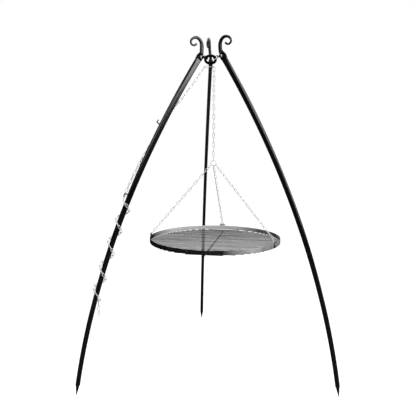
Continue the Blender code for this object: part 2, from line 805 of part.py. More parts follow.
def leg_chain(leg, start):
    """The chain on the left leg: the span and the turns; gives the last link's end."""
    down = span_path(leg, start)
    run = sum((b[0] - a[0]).length for a, b in zip(down, down[1:]))
    path = down + wind_path(leg)
    frames, used = frames_along(path, 0.0, run, 0)
    span = chain("leg_chain_span", frames, used)
    begin = run - LINK_CLEAR - PIVOT_GAP
    total = sum((b[0] - a[0]).length for a, b in zip(path, path[1:]))
    first = (len(frames)) % 2
    frames, used = frames_along(path, begin, total, first, 0)
    wound = chain("leg_chain_wound", frames, used)
    last = frames[-1]
    return span, wound, last[0] + last[1] * (used / 2), last


def chain_tail(end, last):
    """The free links that hang from the last turn."""
    start = end + UP * (LINK_CLEAR + GAP)
    low = start - UP * (TAIL_LINKS * LINK_PITCH + LINK_BITE)
    level = Vector((last[2].x, last[2].y, 0.0)).normalized()
    frames, used = straight_frames(start, low, level.cross(UP), level, TAIL_LINKS)
    return chain("leg_chain_tail", frames, used)


def pivot(name, place, parent=None):
    """An empty on a joint."""
    empty = bpy.data.objects.new(name, None)
    empty.empty_display_size = 0.02
    COLLECTION.objects.link(empty)
    empty.parent = parent
    empty.location = place - (pivot_places[parent.name] if parent else Vector())
    pivot_places[name] = place
    return empty


pivot_places = {}


def hang(empty, pieces, surface):
    """Puts pieces under a joint's empty, with their surface."""
    for obj in pieces:
        obj.data.transform(Matrix.Translation(-pivot_places[empty.name]))
        obj.parent = empty
        obj.data.materials.clear()
        own = surface.copy()
        own.name = obj.name + "_surface"
        obj.data.materials.append(own)


def main():
    """Builds every piece."""
    clear_scene()
    black = material("black_steel", (0.018, 0.018, 0.02), 0.6, 0.35)
    zinc = material("zinc_steel", (0.55, 0.56, 0.58), 0.9, 0.35)
    bare = material("bare_steel", (0.36, 0.36, 0.37), 0.9, 0.4)
    legs = {name: Leg(name) for name in LEGS}
    crown = pivot("crown", CROWN + UP * RING_Z)
    rim = [centre_ring()]
    links = []
    for name, leg in legs.items():
        links += crown_links(leg)
        joint = pivot(f"leg_{name}_joint", leg.eye, crown)
        parts = [leg_tube(leg), leg_spike(leg), leg_cap(leg), leg_eye(leg), leg_scroll(leg)]
        if name == "left":
            parts.append(leg_hook(leg, "chain_hook_upper", RING_Z - HOOK_UPPER_DROP, 1))
            parts.append(leg_hook(leg, "chain_hook_lower", RING_Z - HOOK_LOWER_DROP, -1))
            left_joint = joint
        hang(joint, parts, black)
    angle = tie_angle(legs["rear"]) - math.degrees((2 * JOIN_WIRE + RUNNER_ROOM) / RING_RADIUS)
    foot, _, _ = ring_point(angle)
    runner, middle = runner_ring(foot)
    over, right, left = chain_over(middle)
    bright = [obj for obj in links if obj.name == "crown_link_right_inner"]
    dark = [obj for obj in links if obj not in bright]
    hang(crown, [*rim, *dark, runner], black)
    hang(crown, [*bright, over], zinc)
    first, upper, lower, low, gather = main_chain(right)
    side_swing = pivot("swing_side_joint", right, crown)
    fore_swing = pivot("swing_fore_joint", low, side_swing)
    lift = pivot("lift_joint", low, fore_swing)
    spin = pivot("spin_joint", gather, lift)
    hang(side_swing, [first], zinc)
    hang(fore_swing, [upper], zinc)
    hang(lift, [lower], zinc)
    points = circle(gather, ALONG_X, UP, GATHER_RADIUS, 20)
    hung = [tube("gather_ring", [points], GATHER_WIRE, True, 1)]
    lugs = []
    for name in LUG_AZIMUTHS:
        lugs.append(rim_lug(name))
        bail, peak, side = rim_bail(name)
        hung += [bail, lower_chain(name, gather, peak, side)]
    hang(spin, hung, zinc)
    hang(spin, lugs, black)
    hang(spin, [grate_rim(), grate_grid()], bare)
    span, wound, end, last = leg_chain(legs["left"], left + SPAN_START)
    hang(left_joint, [span, wound], zinc)
    tail = chain_tail(end, last)
    hang(pivot("tail_joint", end, left_joint), [tail], zinc)


main()
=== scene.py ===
"""Campfire tripod with a round grate hung on chains: the finished look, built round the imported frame.

Each sub-assembly is a class with its sizes as fields. Lengths are in metres, in the frame's axes: +Z up, the
ground at z = 0. The sizes that place a piece are the part's own.
"""

import logging
import math
from dataclasses import dataclass, field
from enum import Enum
from typing import Sequence

import bmesh
import bpy
from mathutils import Matrix, Vector


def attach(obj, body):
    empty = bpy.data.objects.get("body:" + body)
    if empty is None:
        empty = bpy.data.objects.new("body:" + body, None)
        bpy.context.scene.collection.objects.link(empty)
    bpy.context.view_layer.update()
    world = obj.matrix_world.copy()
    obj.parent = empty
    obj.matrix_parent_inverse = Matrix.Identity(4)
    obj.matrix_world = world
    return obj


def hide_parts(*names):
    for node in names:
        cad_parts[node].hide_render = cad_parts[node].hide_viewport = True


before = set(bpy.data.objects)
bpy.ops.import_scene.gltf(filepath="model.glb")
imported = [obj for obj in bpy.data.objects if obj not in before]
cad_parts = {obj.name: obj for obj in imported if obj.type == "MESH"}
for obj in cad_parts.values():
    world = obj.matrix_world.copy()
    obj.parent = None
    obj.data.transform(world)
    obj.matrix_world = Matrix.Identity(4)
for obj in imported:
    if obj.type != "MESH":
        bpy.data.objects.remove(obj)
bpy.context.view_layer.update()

LOG = logging.getLogger("tripod_grill")
MM = 0.001
UP = Vector((0.0, 0.0, 1.0))
EAST = Vector((1.0, 0.0, 0.0))
NORTH = Vector((0.0, 1.0, 0.0))
GAP = 0.3 * MM
PIVOT_GAP = 0.5 * MM
TOUCH_GAP = 0.05 * MM

Points = list[Vector]
Path = list[tuple[Vector, Vector]]
Row = Sequence[float]
Place = tuple[float, float, float]
Colour = tuple[float, float, float]
Node = bpy.types.Node
Socket = bpy.types.NodeSocket


class Slot(Enum):
    """The record's material slots."""

    BLACK = "black_steel"
    ZINC = "zinc_steel"
    BARE = "bare_steel"


class Side(Enum):
    """The three legs, by where they stand."""

    LEFT = "left"
    RIGHT = "right"
    REAR = "rear"


# Shader groups and finishes


class ShaderTree:
    """Makes and joins nodes in a shader tree."""

    def __init__(self, tree: bpy.types.NodeTree) -> None:
        """Keeps the tree."""
        self.tree = tree

    def add(self, kind: str, **values: object) -> Node:
        """Adds a node.

        Args:
            kind: The node's type name, without the leading ShaderNode.
            values: Properties of the node by name; a name with a capital sets that input's default.

        Returns:
            The new node.
        """
        node = self.tree.nodes.new("ShaderNode" + kind)
        for name, value in values.items():
            if name[0].isupper():
                node.inputs[name.replace("_", " ")].default_value = value
            else:
                setattr(node, name, value)
        return node

    def join(self, source: Socket, target: Socket) -> None:
        """Links two sockets."""
        self.tree.links.new(source, target)

    def math(self, kind: str, first: object, second: object = None, clamp: bool = False) -> Socket:
        """Adds a Math node on sockets or numbers.

        Args:
            kind: The operation's name.
            first: A socket or a number.
            second: A socket or a number, where the operation has two.
            clamp: Whether the result is kept from 0 to 1.

        Returns:
            The result's socket.
        """
        node = self.add("Math", operation=kind, use_clamp=clamp)
        for i, value in enumerate((first, second)):
            if isinstance(value, Socket):
                self.join(value, node.inputs[i])
            elif value is not None:
                node.inputs[i].default_value = value
        return node.outputs[0]

    def noise(self, place: Socket, scale: float, detail: float = 3.0, rough: float = 0.55) -> Socket:
        """Adds a noise pattern.

        Args:
            place: The coordinates' socket.
            scale: Waves per metre.
            detail: Octaves.
            rough: Weight of the finer octaves.

        Returns:
            The pattern's value socket.
        """
        node = self.add("TexNoise", Scale=scale, Detail=detail, Roughness=rough)
        self.join(place, node.inputs["Vector"])
        return node.outputs["Fac"]

    def ramp(self, value: Socket, low: float, high: float, start: float = 0.0, end: float = 1.0) -> Socket:
        """Maps a value's span onto another, with clamping.

        Args:
            value: The value's socket.
            low: Value that gives start.
            high: Value that gives end.
            start: Result at low.
            end: Result at high.

        Returns:
            The mapped value's socket.
        """
        node = self.add("MapRange", clamp=True)
        self.join(value, node.inputs["Value"])
        for name, number in zip(("From Min", "From Max", "To Min", "To Max"), (low, high, start, end)):
            node.inputs[name].default_value = number
        return node.outputs["Result"]

    def blend(self, factor: Socket, first: object, second: object) -> Socket:
        """Mixes two colours by a factor.

        Args:
            factor: The factor's socket.
            first: A colour, or a colour socket, at factor 0.
            second: A colour, or a colour socket, at factor 1.

        Returns:
            The mixed colour's socket.
        """
        node = self.add("Mix", data_type="RGBA")
        self.join(factor, node.inputs[0])
        for value, socket in ((first, node.inputs[6]), (second, node.inputs[7])):
            if isinstance(value, Socket):
                self.join(value, socket)
            else:
                socket.default_value = (*value, 1.0)
        return node.outputs[2]


@dataclass(frozen=True)
class SurfaceGroup:
    """The shader group that all the metals share: clouds, grain, long scratches, and dust on upward faces."""

    name: str = "metal_surface"
    scratch_stretch: Place = (1.0, 1.0, 0.12)
    scratch_turn: Place = (0.3, 0.2, 0.0)
    scratch_edge: tuple[float, float] = (0.62, 0.72)
    upward_edge: tuple[float, float] = (0.15, 0.95)

    def shell(self, inputs: dict[str, float], outputs: Sequence[str]) -> tuple[ShaderTree, Node, Node]:
        """Starts the group with its sockets.

        Args:
            inputs: Number inputs and their defaults.
            outputs: The outputs' names.

        Returns:
            The tree, its input node and its output node.
        """
        tree = bpy.data.node_groups.new(self.name, "ShaderNodeTree")
        for label, value in inputs.items():
            socket = tree.interface.new_socket(label, in_out="INPUT", socket_type="NodeSocketFloat")
            socket.default_value = value
        for label in outputs:
            tree.interface.new_socket(label, in_out="OUTPUT", socket_type="NodeSocketFloat")
        return ShaderTree(tree), tree.nodes.new("NodeGroupInput"), tree.nodes.new("NodeGroupOutput")

    def build(self) -> bpy.types.NodeTree:
        """Builds the group, or finds it where it is built already.

        Returns:
            A group whose outputs are a slow cloud mask, a fine height, a scratch mask and a dust mask.
        """
        found = bpy.data.node_groups.get(self.name)
        if found:
            return found
        scales = {"Cloud Scale": 14.0, "Grain Scale": 900.0, "Scratch Scale": 120.0}
        tree, start, end = self.shell(scales, ("Cloud", "Height", "Scratch", "Dust"))
        place = tree.add("TexCoord").outputs["Object"]
        stretch = tree.add("Mapping", Scale=self.scratch_stretch, Rotation=self.scratch_turn)
        tree.join(place, stretch.inputs["Vector"])
        patterns = []
        for scale, source, detail, rough in (
            ("Cloud Scale", place, 4.0, 0.6),
            ("Grain Scale", place, 2.0, 0.5),
            ("Scratch Scale", stretch.outputs[0], 6.0, 0.75),
        ):
            noise = tree.add("TexNoise", Detail=detail, Roughness=rough)
            tree.join(source, noise.inputs["Vector"])
            tree.join(start.outputs[scale], noise.inputs["Scale"])
            patterns.append(noise.outputs["Fac"])
        cloud, grain, line = patterns
        facing = tree.add("SeparateXYZ")
        tree.join(tree.add("NewGeometry").outputs["Normal"], facing.inputs[0])
        upward = tree.ramp(facing.outputs["Z"], *self.upward_edge)
        tree.join(cloud, end.inputs["Cloud"])
        tree.join(grain, end.inputs["Height"])
        tree.join(tree.ramp(line, *self.scratch_edge), end.inputs["Scratch"])
        tree.join(tree.math("MULTIPLY", upward, cloud), end.inputs["Dust"])
        return tree.tree


@dataclass(frozen=True)
class Finish:
    """A metal finish: its colour, its variation, its gloss and its fine relief."""

    name: str
    colour: Colour
    cloudy: Colour
    worn: Colour
    dusty: Colour
    metallic: float
    roughness: float
    roughness_swing: float
    wear: float
    dust: float
    relief: float
    grain: float
    cloud: float
    coat: float = 0.0
    coat_roughness: float = 0.1
    specular: float = 0.5
    cloud_edge: tuple[float, float] = (0.35, 0.68)
    gloss_edge: tuple[float, float] = (0.3, 0.7)
    relief_depth: float = 0.4 * MM

    def build(self) -> bpy.types.Material:
        """Makes the material.

        Returns:
            The material, ready for a piece.
        """
        found = bpy.data.materials.get(self.name)
        if found:
            return found
        mat = bpy.data.materials.new(self.name)
        mat.use_nodes = True
        tree = ShaderTree(mat.node_tree)
        shader = mat.node_tree.nodes["Principled BSDF"]
        group = tree.add(
            "Group", node_tree=SurfaceGroup().build(), Cloud_Scale=self.cloud, Grain_Scale=self.grain,
        )
        colour = tree.blend(tree.ramp(group.outputs["Cloud"], *self.cloud_edge), self.colour, self.cloudy)
        colour = self.tint(tree, colour)
        for mask, share, over in (("Scratch", self.wear, self.worn), ("Dust", self.dust, self.dusty)):
            colour = tree.blend(tree.math("MULTIPLY", group.outputs[mask], share, True), colour, over)
        tree.join(colour, shader.inputs["Base Color"])
        smoothest, roughest = self.roughness - self.roughness_swing, self.roughness + self.roughness_swing
        rough = tree.ramp(group.outputs["Cloud"], *self.gloss_edge, smoothest, roughest)
        tree.join(rough, shader.inputs["Roughness"])
        for name, value in (
            ("Metallic", self.metallic),
            ("Coat Weight", self.coat),
            ("Coat Roughness", self.coat_roughness),
            ("Specular IOR Level", self.specular),
        ):
            shader.inputs[name].default_value = value
        bump = tree.add("Bump", Strength=self.relief, Distance=self.relief_depth)
        tree.join(group.outputs["Height"], bump.inputs["Height"])
        tree.join(bump.outputs["Normal"], shader.inputs["Normal"])
        return mat

    def tint(self, tree: ShaderTree, colour: Socket) -> Socket:
        """Returns the colour; a finish with streaks or painted shade of its own changes it here."""
        return colour


@dataclass(frozen=True)
class StainAndShadeFinish(Finish):
    """A bare steel, darker towards some sides of the grate: painted shade that copies the rim's dark
    reflections, with some heat stain.

    Each side is an azimuth, the share of the radius where the painted shade begins, half the width of its
    edge, and its depth.
    """

    centre: Place = (0.0, 0.0, 0.0)
    radius: float = 0.35
    stain_and_shade: Colour = (0.02, 0.02, 0.022)
    sides: tuple[tuple[float, float, float, float], ...] = ()
    patch_scale: float = 9.0
    patch_share: float = 0.3

    def tint(self, tree: ShaderTree, colour: Socket) -> Socket:
        """Darkens the colour round each shaded azimuth of the grate, as painted shade.

        Args:
            tree: The material's tree.
            colour: The colour so far.

        Returns:
            The colour with its painted shade.
        """
        place = tree.add("Mapping", vector_type="POINT", Location=tuple(-c for c in self.centre))
        tree.join(tree.add("TexCoord").outputs["Object"], place.inputs["Vector"])
        split = tree.add("SeparateXYZ")
        tree.join(place.outputs[0], split.inputs[0])
        noise = tree.math("SUBTRACT", tree.noise(place.outputs[0], self.patch_scale), 0.5)
        patch = tree.math("MULTIPLY", noise, self.patch_share)
        # painted shade: the colour darkens towards each listed azimuth of the grate
        for azimuth, edge, span, depth in self.sides:
            a = math.radians(azimuth)
            along_x = tree.math("MULTIPLY", split.outputs["X"], math.cos(a) / self.radius)
            along_y = tree.math("MULTIPLY", split.outputs["Y"], math.sin(a) / self.radius)
            side = tree.math("ADD", tree.math("ADD", along_x, along_y), patch)
            colour = tree.blend(tree.ramp(side, edge - span, edge + span, 0.0, depth), colour, self.stain_and_shade)
        return colour


@dataclass(frozen=True)
class RodFinish(Finish):
    """A bare steel whose rods are darker here and there, each along its length."""

    turn: float = 0.0
    along: float = 1.6
    across: float = 34.0
    streak: Colour = (0.05, 0.05, 0.05)
    streak_edge: tuple[float, float] = (0.47, 0.62)
    depth: float = 0.7

    def tint(self, tree: ShaderTree, colour: Socket) -> Socket:
        """Darkens the colour in long streaks that follow the rods.

        Args:
            tree: The material's tree.
            colour: The colour so far.

        Returns:
            The streaked colour.
        """
        turned = tree.add("Mapping", vector_type="POINT", Rotation=(0.0, 0.0, -math.radians(self.turn)))
        tree.join(tree.add("TexCoord").outputs["Object"], turned.inputs["Vector"])
        place = tree.add("Mapping", vector_type="POINT", Scale=(self.along, self.across, 0.0))
        tree.join(turned.outputs[0], place.inputs["Vector"])
        streak = tree.ramp(tree.noise(place.outputs[0], 1.0, 1.0), *self.streak_edge, 0.0, self.depth)
        return tree.blend(streak, colour, self.streak)


# Mesh and Geometry Nodes helpers


class GeometryTree:
    """A Geometry Nodes tree with named inputs, turned into a plain mesh."""

    def __init__(self, name: str) -> None:
        """Starts the tree.

        Args:
            name: The tree's name.
        """
        self.tree = bpy.data.node_groups.new(name, "GeometryNodeTree")
        self.tree.interface.new_socket("Geometry", in_out="INPUT", socket_type="NodeSocketGeometry")
        self.tree.interface.new_socket("Geometry", in_out="OUTPUT", socket_type="NodeSocketGeometry")
        self.start = self.tree.nodes.new("NodeGroupInput")
        self.end = self.tree.nodes.new("NodeGroupOutput")
        self.values: dict[str, object] = {}

    def size(self, name: str, value: float, kind: str = "Float") -> Socket:
        """Adds a named input.

        Args:
            name: The input's name.
            value: Its value for this piece.
            kind: Float, Int, Vector or Material.

        Returns:
            The input's socket inside the tree.
        """
        socket = self.tree.interface.new_socket(name, in_out="INPUT", socket_type="NodeSocket" + kind)
        self.values[socket.identifier] = value
        return self.start.outputs[name]

    def add(self, kind: str, links: dict[object, object] | None = None, **values: object) -> Node:
        """Adds a node.

        Args:
            kind: The node's full type name.
            links: Input name or index to a socket or a value.
            values: Properties of the node by name.

        Returns:
            The new node.
        """
        node = self.tree.nodes.new(kind)
        for name, value in values.items():
            setattr(node, name, value)
        for name, value in (links or {}).items():
            if isinstance(value, Socket):
                self.tree.links.new(value, node.inputs[name])
            else:
                node.inputs[name].default_value = value
        return node

    def math(self, kind: str, first: object, second: object = 0.0) -> Socket:
        """Returns the socket of a Math node on two sockets or numbers."""
        return self.add("ShaderNodeMath", {0: first, 1: second}, operation=kind).outputs[0]

    def vector(self, name: str) -> Socket:
        """Returns the socket of a vector attribute of the base points."""
        node = self.add("GeometryNodeInputNamedAttribute", {"Name": name}, data_type="FLOAT_VECTOR")
        return node.outputs[0]

    def circle(self, radius: Socket, sides: int) -> Socket:
        """Returns the socket of a round section of that radius and number of sides."""
        links = {"Resolution": sides, "Radius": radius}
        return self.add("GeometryNodeCurvePrimitiveCircle", links, mode="RADIUS").outputs[0]

    def spread(self, shape: Socket, points: Socket | None = None, **links: Socket) -> Socket:
        """Puts a shape on every point.

        Args:
            shape: The shape's socket.
            points: The points' socket, or None for the base's own points.
            links: The Rotation or Scale of each.

        Returns:
            The instances' socket.
        """
        links = {"Points": points or self.start.outputs["Geometry"], "Instance": shape, **links}
        return self.add("GeometryNodeInstanceOnPoints", links).outputs[0]

    def close(self, shape: Socket, surface: bpy.types.Material, smooth: bool = True) -> None:
        """Ends the tree.

        Args:
            shape: The finished shape's socket.
            surface: The material that it gets.
            smooth: Whether its faces are shaded smooth.
        """
        real = self.add("GeometryNodeRealizeInstances", {0: shape}).outputs[0]
        shade = self.add("GeometryNodeSetShadeSmooth", {"Geometry": real, "Shade Smooth": smooth}).outputs[0]
        given = self.size("Surface", surface, "Material")
        done = self.add("GeometryNodeSetMaterial", {"Geometry": shade, "Material": given}).outputs[0]
        self.tree.links.new(done, self.end.inputs[0])

    def make(self, name: str, base: bpy.types.Mesh) -> bpy.types.Object:
        """Runs the tree on a base mesh and keeps the result as a plain mesh.

        Args:
            name: The piece's name.
            base: The points or lines that the tree starts from.

        Returns:
            The piece, with no modifier.
        """
        obj = new_object(name, base)
        mod = obj.modifiers.new("nodes", "NODES")
        mod.node_group = self.tree
        for identifier, value in self.values.items():
            mod[identifier] = value
        return bake(obj)


def new_object(name: str, mesh: bpy.types.Mesh) -> bpy.types.Object:
    """Links a mesh as an object of that name."""
    obj = bpy.data.objects.new(name, mesh)
    bpy.context.scene.collection.objects.link(obj)
    return obj


def bake(obj: bpy.types.Object) -> bpy.types.Object:
    """Replaces an object's mesh by its evaluated one and drops the modifiers.

    Args:
        obj: The object.

    Returns:
        The same object.
    """
    bpy.context.view_layer.update()
    graph = bpy.context.evaluated_depsgraph_get()
    mesh = bpy.data.meshes.new_from_object(obj.evaluated_get(graph))
    mesh.name = obj.name
    obj.modifiers.clear()
    obj.data = mesh
    return obj


def points_mesh(name: str, places: Sequence[Vector], vectors: dict[str, Sequence[Vector]]) -> bpy.types.Mesh:
    """Makes a mesh of loose points with vector attributes.

    Args:
        name: The mesh's name.
        places: The points.
        vectors: Attribute name to one vector per point.

    Returns:
        The mesh.
    """
    mesh = bpy.data.meshes.new(name)
    mesh.from_pydata([tuple(p) for p in places], [], [])
    for label, rows in vectors.items():
        layer = mesh.attributes.new(label, "FLOAT_VECTOR", "POINT")
        for i, row in enumerate(rows):
            layer.data[i].vector = tuple(row)
    return mesh


def clean(mesh: bpy.types.Mesh, merge: float = 1e-6) -> bpy.types.Mesh:
    """Merges doubled points and turns every face out.

    Args:
        mesh: The mesh.
        merge: Points closer than this become one.

    Returns:
        The same mesh.
    """
    bm = bmesh.new()
    bm.from_mesh(mesh)
    bmesh.ops.remove_doubles(bm, verts=bm.verts, dist=merge)
    bmesh.ops.recalc_face_normals(bm, faces=bm.faces)
    bm.to_mesh(mesh)
    bm.free()
    return mesh


def skin(
    name: str, rings: Sequence[Points], closed: bool = False, loop: bool = True, caps: bool = True,
) -> bpy.types.Mesh:
    """Covers rings of points with faces.

    Args:
        name: The mesh's name.
        rings: Equal rings of points, in order.
        closed: Whether the last ring joins the first.
        loop: Whether each ring is closed on itself.
        caps: Whether the two end rings are filled.

    Returns:
        The mesh, facing out and smooth.
    """
    bm = bmesh.new()
    rows = [[bm.verts.new(p) for p in ring] for ring in rings]
    count = len(rows[0])
    pairs = list(zip(rows, rows[1:])) + ([(rows[-1], rows[0])] if closed else [])
    for low, high in pairs:
        for i in range(count if loop else count - 1):
            j = (i + 1) % count
            bm.faces.new((low[i], low[j], high[j], high[i]))
    if caps and not closed:
        bm.faces.new(rows[0])
        bm.faces.new(rows[-1])
    mesh = bpy.data.meshes.new(name)
    bm.to_mesh(mesh)
    bm.free()
    clean(mesh)
    mesh.polygons.foreach_set("use_smooth", [True] * len(mesh.polygons))
    return mesh


def catmull(points: Sequence[Row], count: int) -> list[list[float]]:
    """Smooth values through the rows of a table, evenly spaced in its rows.

    Args:
        points: The table.
        count: Number of steps.

    Returns:
        count + 1 rows.
    """
    rows = []
    last = len(points) - 1
    for n in range(count + 1):
        t = last * n / count
        i = min(int(t), last - 1)
        f = t - i
        near = [points[max(0, min(last, i + k))] for k in (-1, 0, 1, 2)]
        rows.append([
            b + 0.5 * f * (d - a + f * (2 * a - 5 * b + 4 * d - e + f * (3 * (b - d) + e - a)))
            for a, b, d, e in zip(*near)
        ])
    return rows


def sweep(
    name: str, path: Points, radii: Sequence[float], sides: int = 12, closed: bool = False,
    flat: Sequence[float] | None = None, lead: Vector | None = None,
) -> bpy.types.Mesh:
    """Sweeps a round section along a path, with its ends rounded off.

    Args:
        name: The mesh's name.
        path: The centre line; a closed one lies in a plane.
        radii: Radius at each point.
        sides: Points round the section.
        closed: Whether the path is a loop.
        flat: The section's height over its width at each point, or None where it is round.
        lead: The way the section is wide at the start, or None for any.

    Returns:
        The mesh.
    """
    rings = []
    count = len(path)
    normal = loop_normal(path) if closed else (lead or (path[1] - path[0]).orthogonal()).normalized()
    turns = [2 * math.pi * k / sides for k in range(sides)]
    for i, point in enumerate(path):
        before = path[i - 1] if i or closed else point
        after = path[(i + 1) % count] if i < count - 1 or closed else point
        along = (after - before).normalized()
        normal = (normal - along * normal.dot(along)).normalized()
        across = along.cross(normal)
        high = flat[i] if flat else 1.0
        rings.append([
            point + (normal * math.cos(a) + across * (high * math.sin(a))) * radii[i] for a in turns
        ])
    if not closed:
        rings = rounded_end(rings, path, radii, 0)[::-1] + rings[1:-1] + rounded_end(rings, path, radii, -1)
    return skin(name, rings, closed=closed)


def loop_normal(path: Points) -> Vector:
    """Finds the plane of a flat loop.

    Args:
        path: The loop's points.

    Returns:
        The plane's unit normal.
    """
    total = Vector()
    for first, second in zip(path, path[1:] + path[:1]):
        total += first.cross(second)
    return total.normalized()


def rounded_end(rings: list[Points], path: Points, radii: Sequence[float], end: int) -> list[Points]:
    """Rings that round off one end of a sweep, from the full ring to a small one.

    Args:
        rings: All the sweep's rings.
        path: The centre line.
        radii: The radii.
        end: 0 for the first end, -1 for the last.

    Returns:
        The end's rings, outermost last.
    """
    inner = path[1] if end == 0 else path[-2]
    out = (path[end] - inner).normalized()
    radius = radii[end]
    ring = rings[end]
    made = []
    for k in range(5):
        a = math.pi / 2 * k / 4.4
        centre = path[end] - out * (radius * 0.5 * (1 - math.sin(a)))
        made.append([centre + (p - path[end]) * max(0.1, math.cos(a)) for p in ring])
    return made


def circle(centre: Vector, first: Vector, second: Vector, radius: float, count: int) -> Points:
    """Points of a circle in the plane of two unit directions."""
    turns = [2 * math.pi * i / count for i in range(count)]
    return [centre + (first * math.cos(a) + second * math.sin(a)) * radius for a in turns]


def oval(
    centre: Vector, along: Vector, across: Vector, length: float, width: float, count: int,
) -> Points:
    """Points of a loop with straight sides and round ends.

    Args:
        centre: The loop's middle.
        along: Its long direction.
        across: Its short direction.
        length: Its length on the wire's centre line.
        width: Its width on the wire's centre line.
        count: Steps in each round end.

    Returns:
        The points.
    """
    points = []
    half = width / 2
    straight = length / 2 - half
    for side in (1, -1):
        for i in range(count + 1):
            a = math.pi * (i / count - 0.5)
            reach = along * (straight + half * math.cos(a)) + across * (half * math.sin(a))
            points.append(centre + side * reach)
    return [p for i, p in enumerate(points) if (p - points[i - 1]).length > 1e-6]


def direction(azimuth: float) -> Vector:
    """The level unit direction at an azimuth in degrees."""
    return Vector((math.cos(math.radians(azimuth)), math.sin(math.radians(azimuth)), 0.0))


def ring_section(
    inner: float, outer: float, low: float, high: float, edge: float, steps: int,
) -> list[tuple[float, float]]:
    """The section of a flat ring with rounded corners, as (radius, distance) points for turning.

    Args:
        inner: The ring's inner radius.
        outer: Its outer radius.
        low: The distance of its lower face.
        high: The distance of its upper face.
        edge: The rounding's radius.
        steps: Steps in each rounding.

    Returns:
        The points, round the section.
    """
    outline = []
    turns = [math.pi / 2 * k / steps for k in range(steps + 1)]
    corners = ((outer, low, 1, -1), (outer, high, 1, 1), (inner, high, -1, 1), (inner, low, -1, -1))
    for r, h, sr, sh in corners:
        arc = [(r - sr * edge * (1 - math.cos(a)), h - sh * edge * (1 - math.sin(a))) for a in turns]
        outline += arc[::-1] if sr * sh < 0 else arc
    return outline


def lathe(
    name: str, profile: Sequence[tuple[float, float]], origin: Vector, along: Vector, steps: int,
    closed: bool = False,
) -> bpy.types.Mesh:
    """Turns a profile of (radius, distance) about a line.

    Args:
        name: The mesh's name.
        profile: The section, from one end to the other.
        origin: A point on the line.
        along: The line's direction.
        steps: Points round it.
        closed: Whether the profile is a loop, as in a ring.

    Returns:
        The mesh.
    """
    first = along.orthogonal().normalized()
    second = along.cross(first)
    rings = []
    for k in range(steps):
        a = 2 * math.pi * k / steps
        out = first * math.cos(a) + second * math.sin(a)
        rings.append([origin + out * r + along * h for r, h in profile])
    return skin(name, rings, closed=True, loop=closed, caps=False)


def soften(obj: bpy.types.Object, width: float, segments: int = 2, angle: float = 40.0) -> bpy.types.Object:
    """Rounds an object's sharp edges.

    Args:
        obj: The object.
        width: The rounding's size.
        segments: Its steps.
        angle: Edges sharper than this many degrees are rounded.

    Returns:
        The same object, its modifier applied.
    """
    mod = obj.modifiers.new("edges", "BEVEL")
    mod.width = width
    mod.segments = segments
    mod.limit_method = "ANGLE"
    mod.angle_limit = math.radians(angle)
    mod.harden_normals = False
    return bake(obj)


def settle(obj: bpy.types.Object, body: str, slot: Slot, finish: Finish, *nodes: str) -> None:
    """Gives a finished piece its material and its body, and hides the nodes that it stands for.

    Args:
        obj: The piece.
        body: The body that it rides on.
        slot: Its material slot in the record; not used.
        finish: Its finish, for a piece that no tree has dressed yet.
        nodes: The CAD nodes that it replaces.
    """
    if not obj.data.materials:
        obj.data.materials.append(finish.build())
    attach(obj, body)
    if nodes:
        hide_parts(*nodes)
    LOG.info("%s rides on %s, %d faces", obj.name, body, len(obj.data.polygons))


# The part's own lines and places


@dataclass(frozen=True)
class LegPlan:
    """Where one leg stands: its azimuth, its top's distance from the crown's axis and its own lean.

    Its scroll has a turn, an extra height of the stem and a shift to the east.
    """

    azimuth: float
    top: float
    own: float
    turn: float = 0.0
    extra: float = 0.0
    shift: float = 0.0


@dataclass(frozen=True)
class LegSizes:
    """The curve and the section shared by the three legs."""

    length: float = 1.811
    lean_top: float = 33.67
    lean_foot: float = 8.70
    bow: float = -0.244
    width: float = 19.5 * MM
    depth_top: float = 31.0 * MM
    depth_foot: float = 20.5 * MM
    corner: float = 6.0 * MM
    wall: float = 2.0 * MM
    slack: float = 0.16 * MM
    outer_round: float = 0.38
    short_top: float = 11.0 * MM
    steps: int = 362
    cap_thick: float = 4.0 * MM
    cap_proud: float = 1.5 * MM
    eye_radius: float = 10.5 * MM
    eye_hole: float = 5.75 * MM
    eye_thick: float = 8.0 * MM
    eye_inward: float = 7.6 * MM

    def lean(self, share: float, own: float) -> float:
        """The lean in radians at a share of the length from the top.

        Args:
            share: 0 at the top, 1 at the tip.
            own: The leg's own lean in degrees.

        Returns:
            The angle from upright.
        """
        bent = share + self.bow * share * (1 - share)
        return math.radians(self.lean_top + (self.lean_foot - self.lean_top) * bent + own)


LEG_PLANS: dict[Side, LegPlan] = {
    Side.LEFT: LegPlan(207.6, 0.068145, 0.10, shift=1.2 * MM),
    Side.RIGHT: LegPlan(-31.0, 0.064297, -0.49, shift=-5.5 * MM),
    Side.REAR: LegPlan(93.3, 0.065740, 0.39, 7.0, 17.0 * MM, -6.5 * MM),
}
LEG = LegSizes()


def foot_radius(plan: LegPlan) -> float:
    """Follows a leg's curve down to its tip.

    Args:
        plan: Where the leg stands.

    Returns:
        The tip's distance from the crown's axis.
    """
    step = LEG.length / LEG.steps
    leans = [LEG.lean((i + 0.5) / LEG.steps, plan.own) for i in range(LEG.steps)]
    return plan.top + sum(step * math.sin(lean) for lean in leans)


def crown_axis() -> Vector:
    """The place of the crown's upright axis, which puts the feet's outline about the origin."""
    tips = [direction(plan.azimuth) * foot_radius(plan) for plan in LEG_PLANS.values()]
    return -Vector([(max(t[k] for t in tips) + min(t[k] for t in tips)) / 2 for k in range(3)])


CROWN = crown_axis()


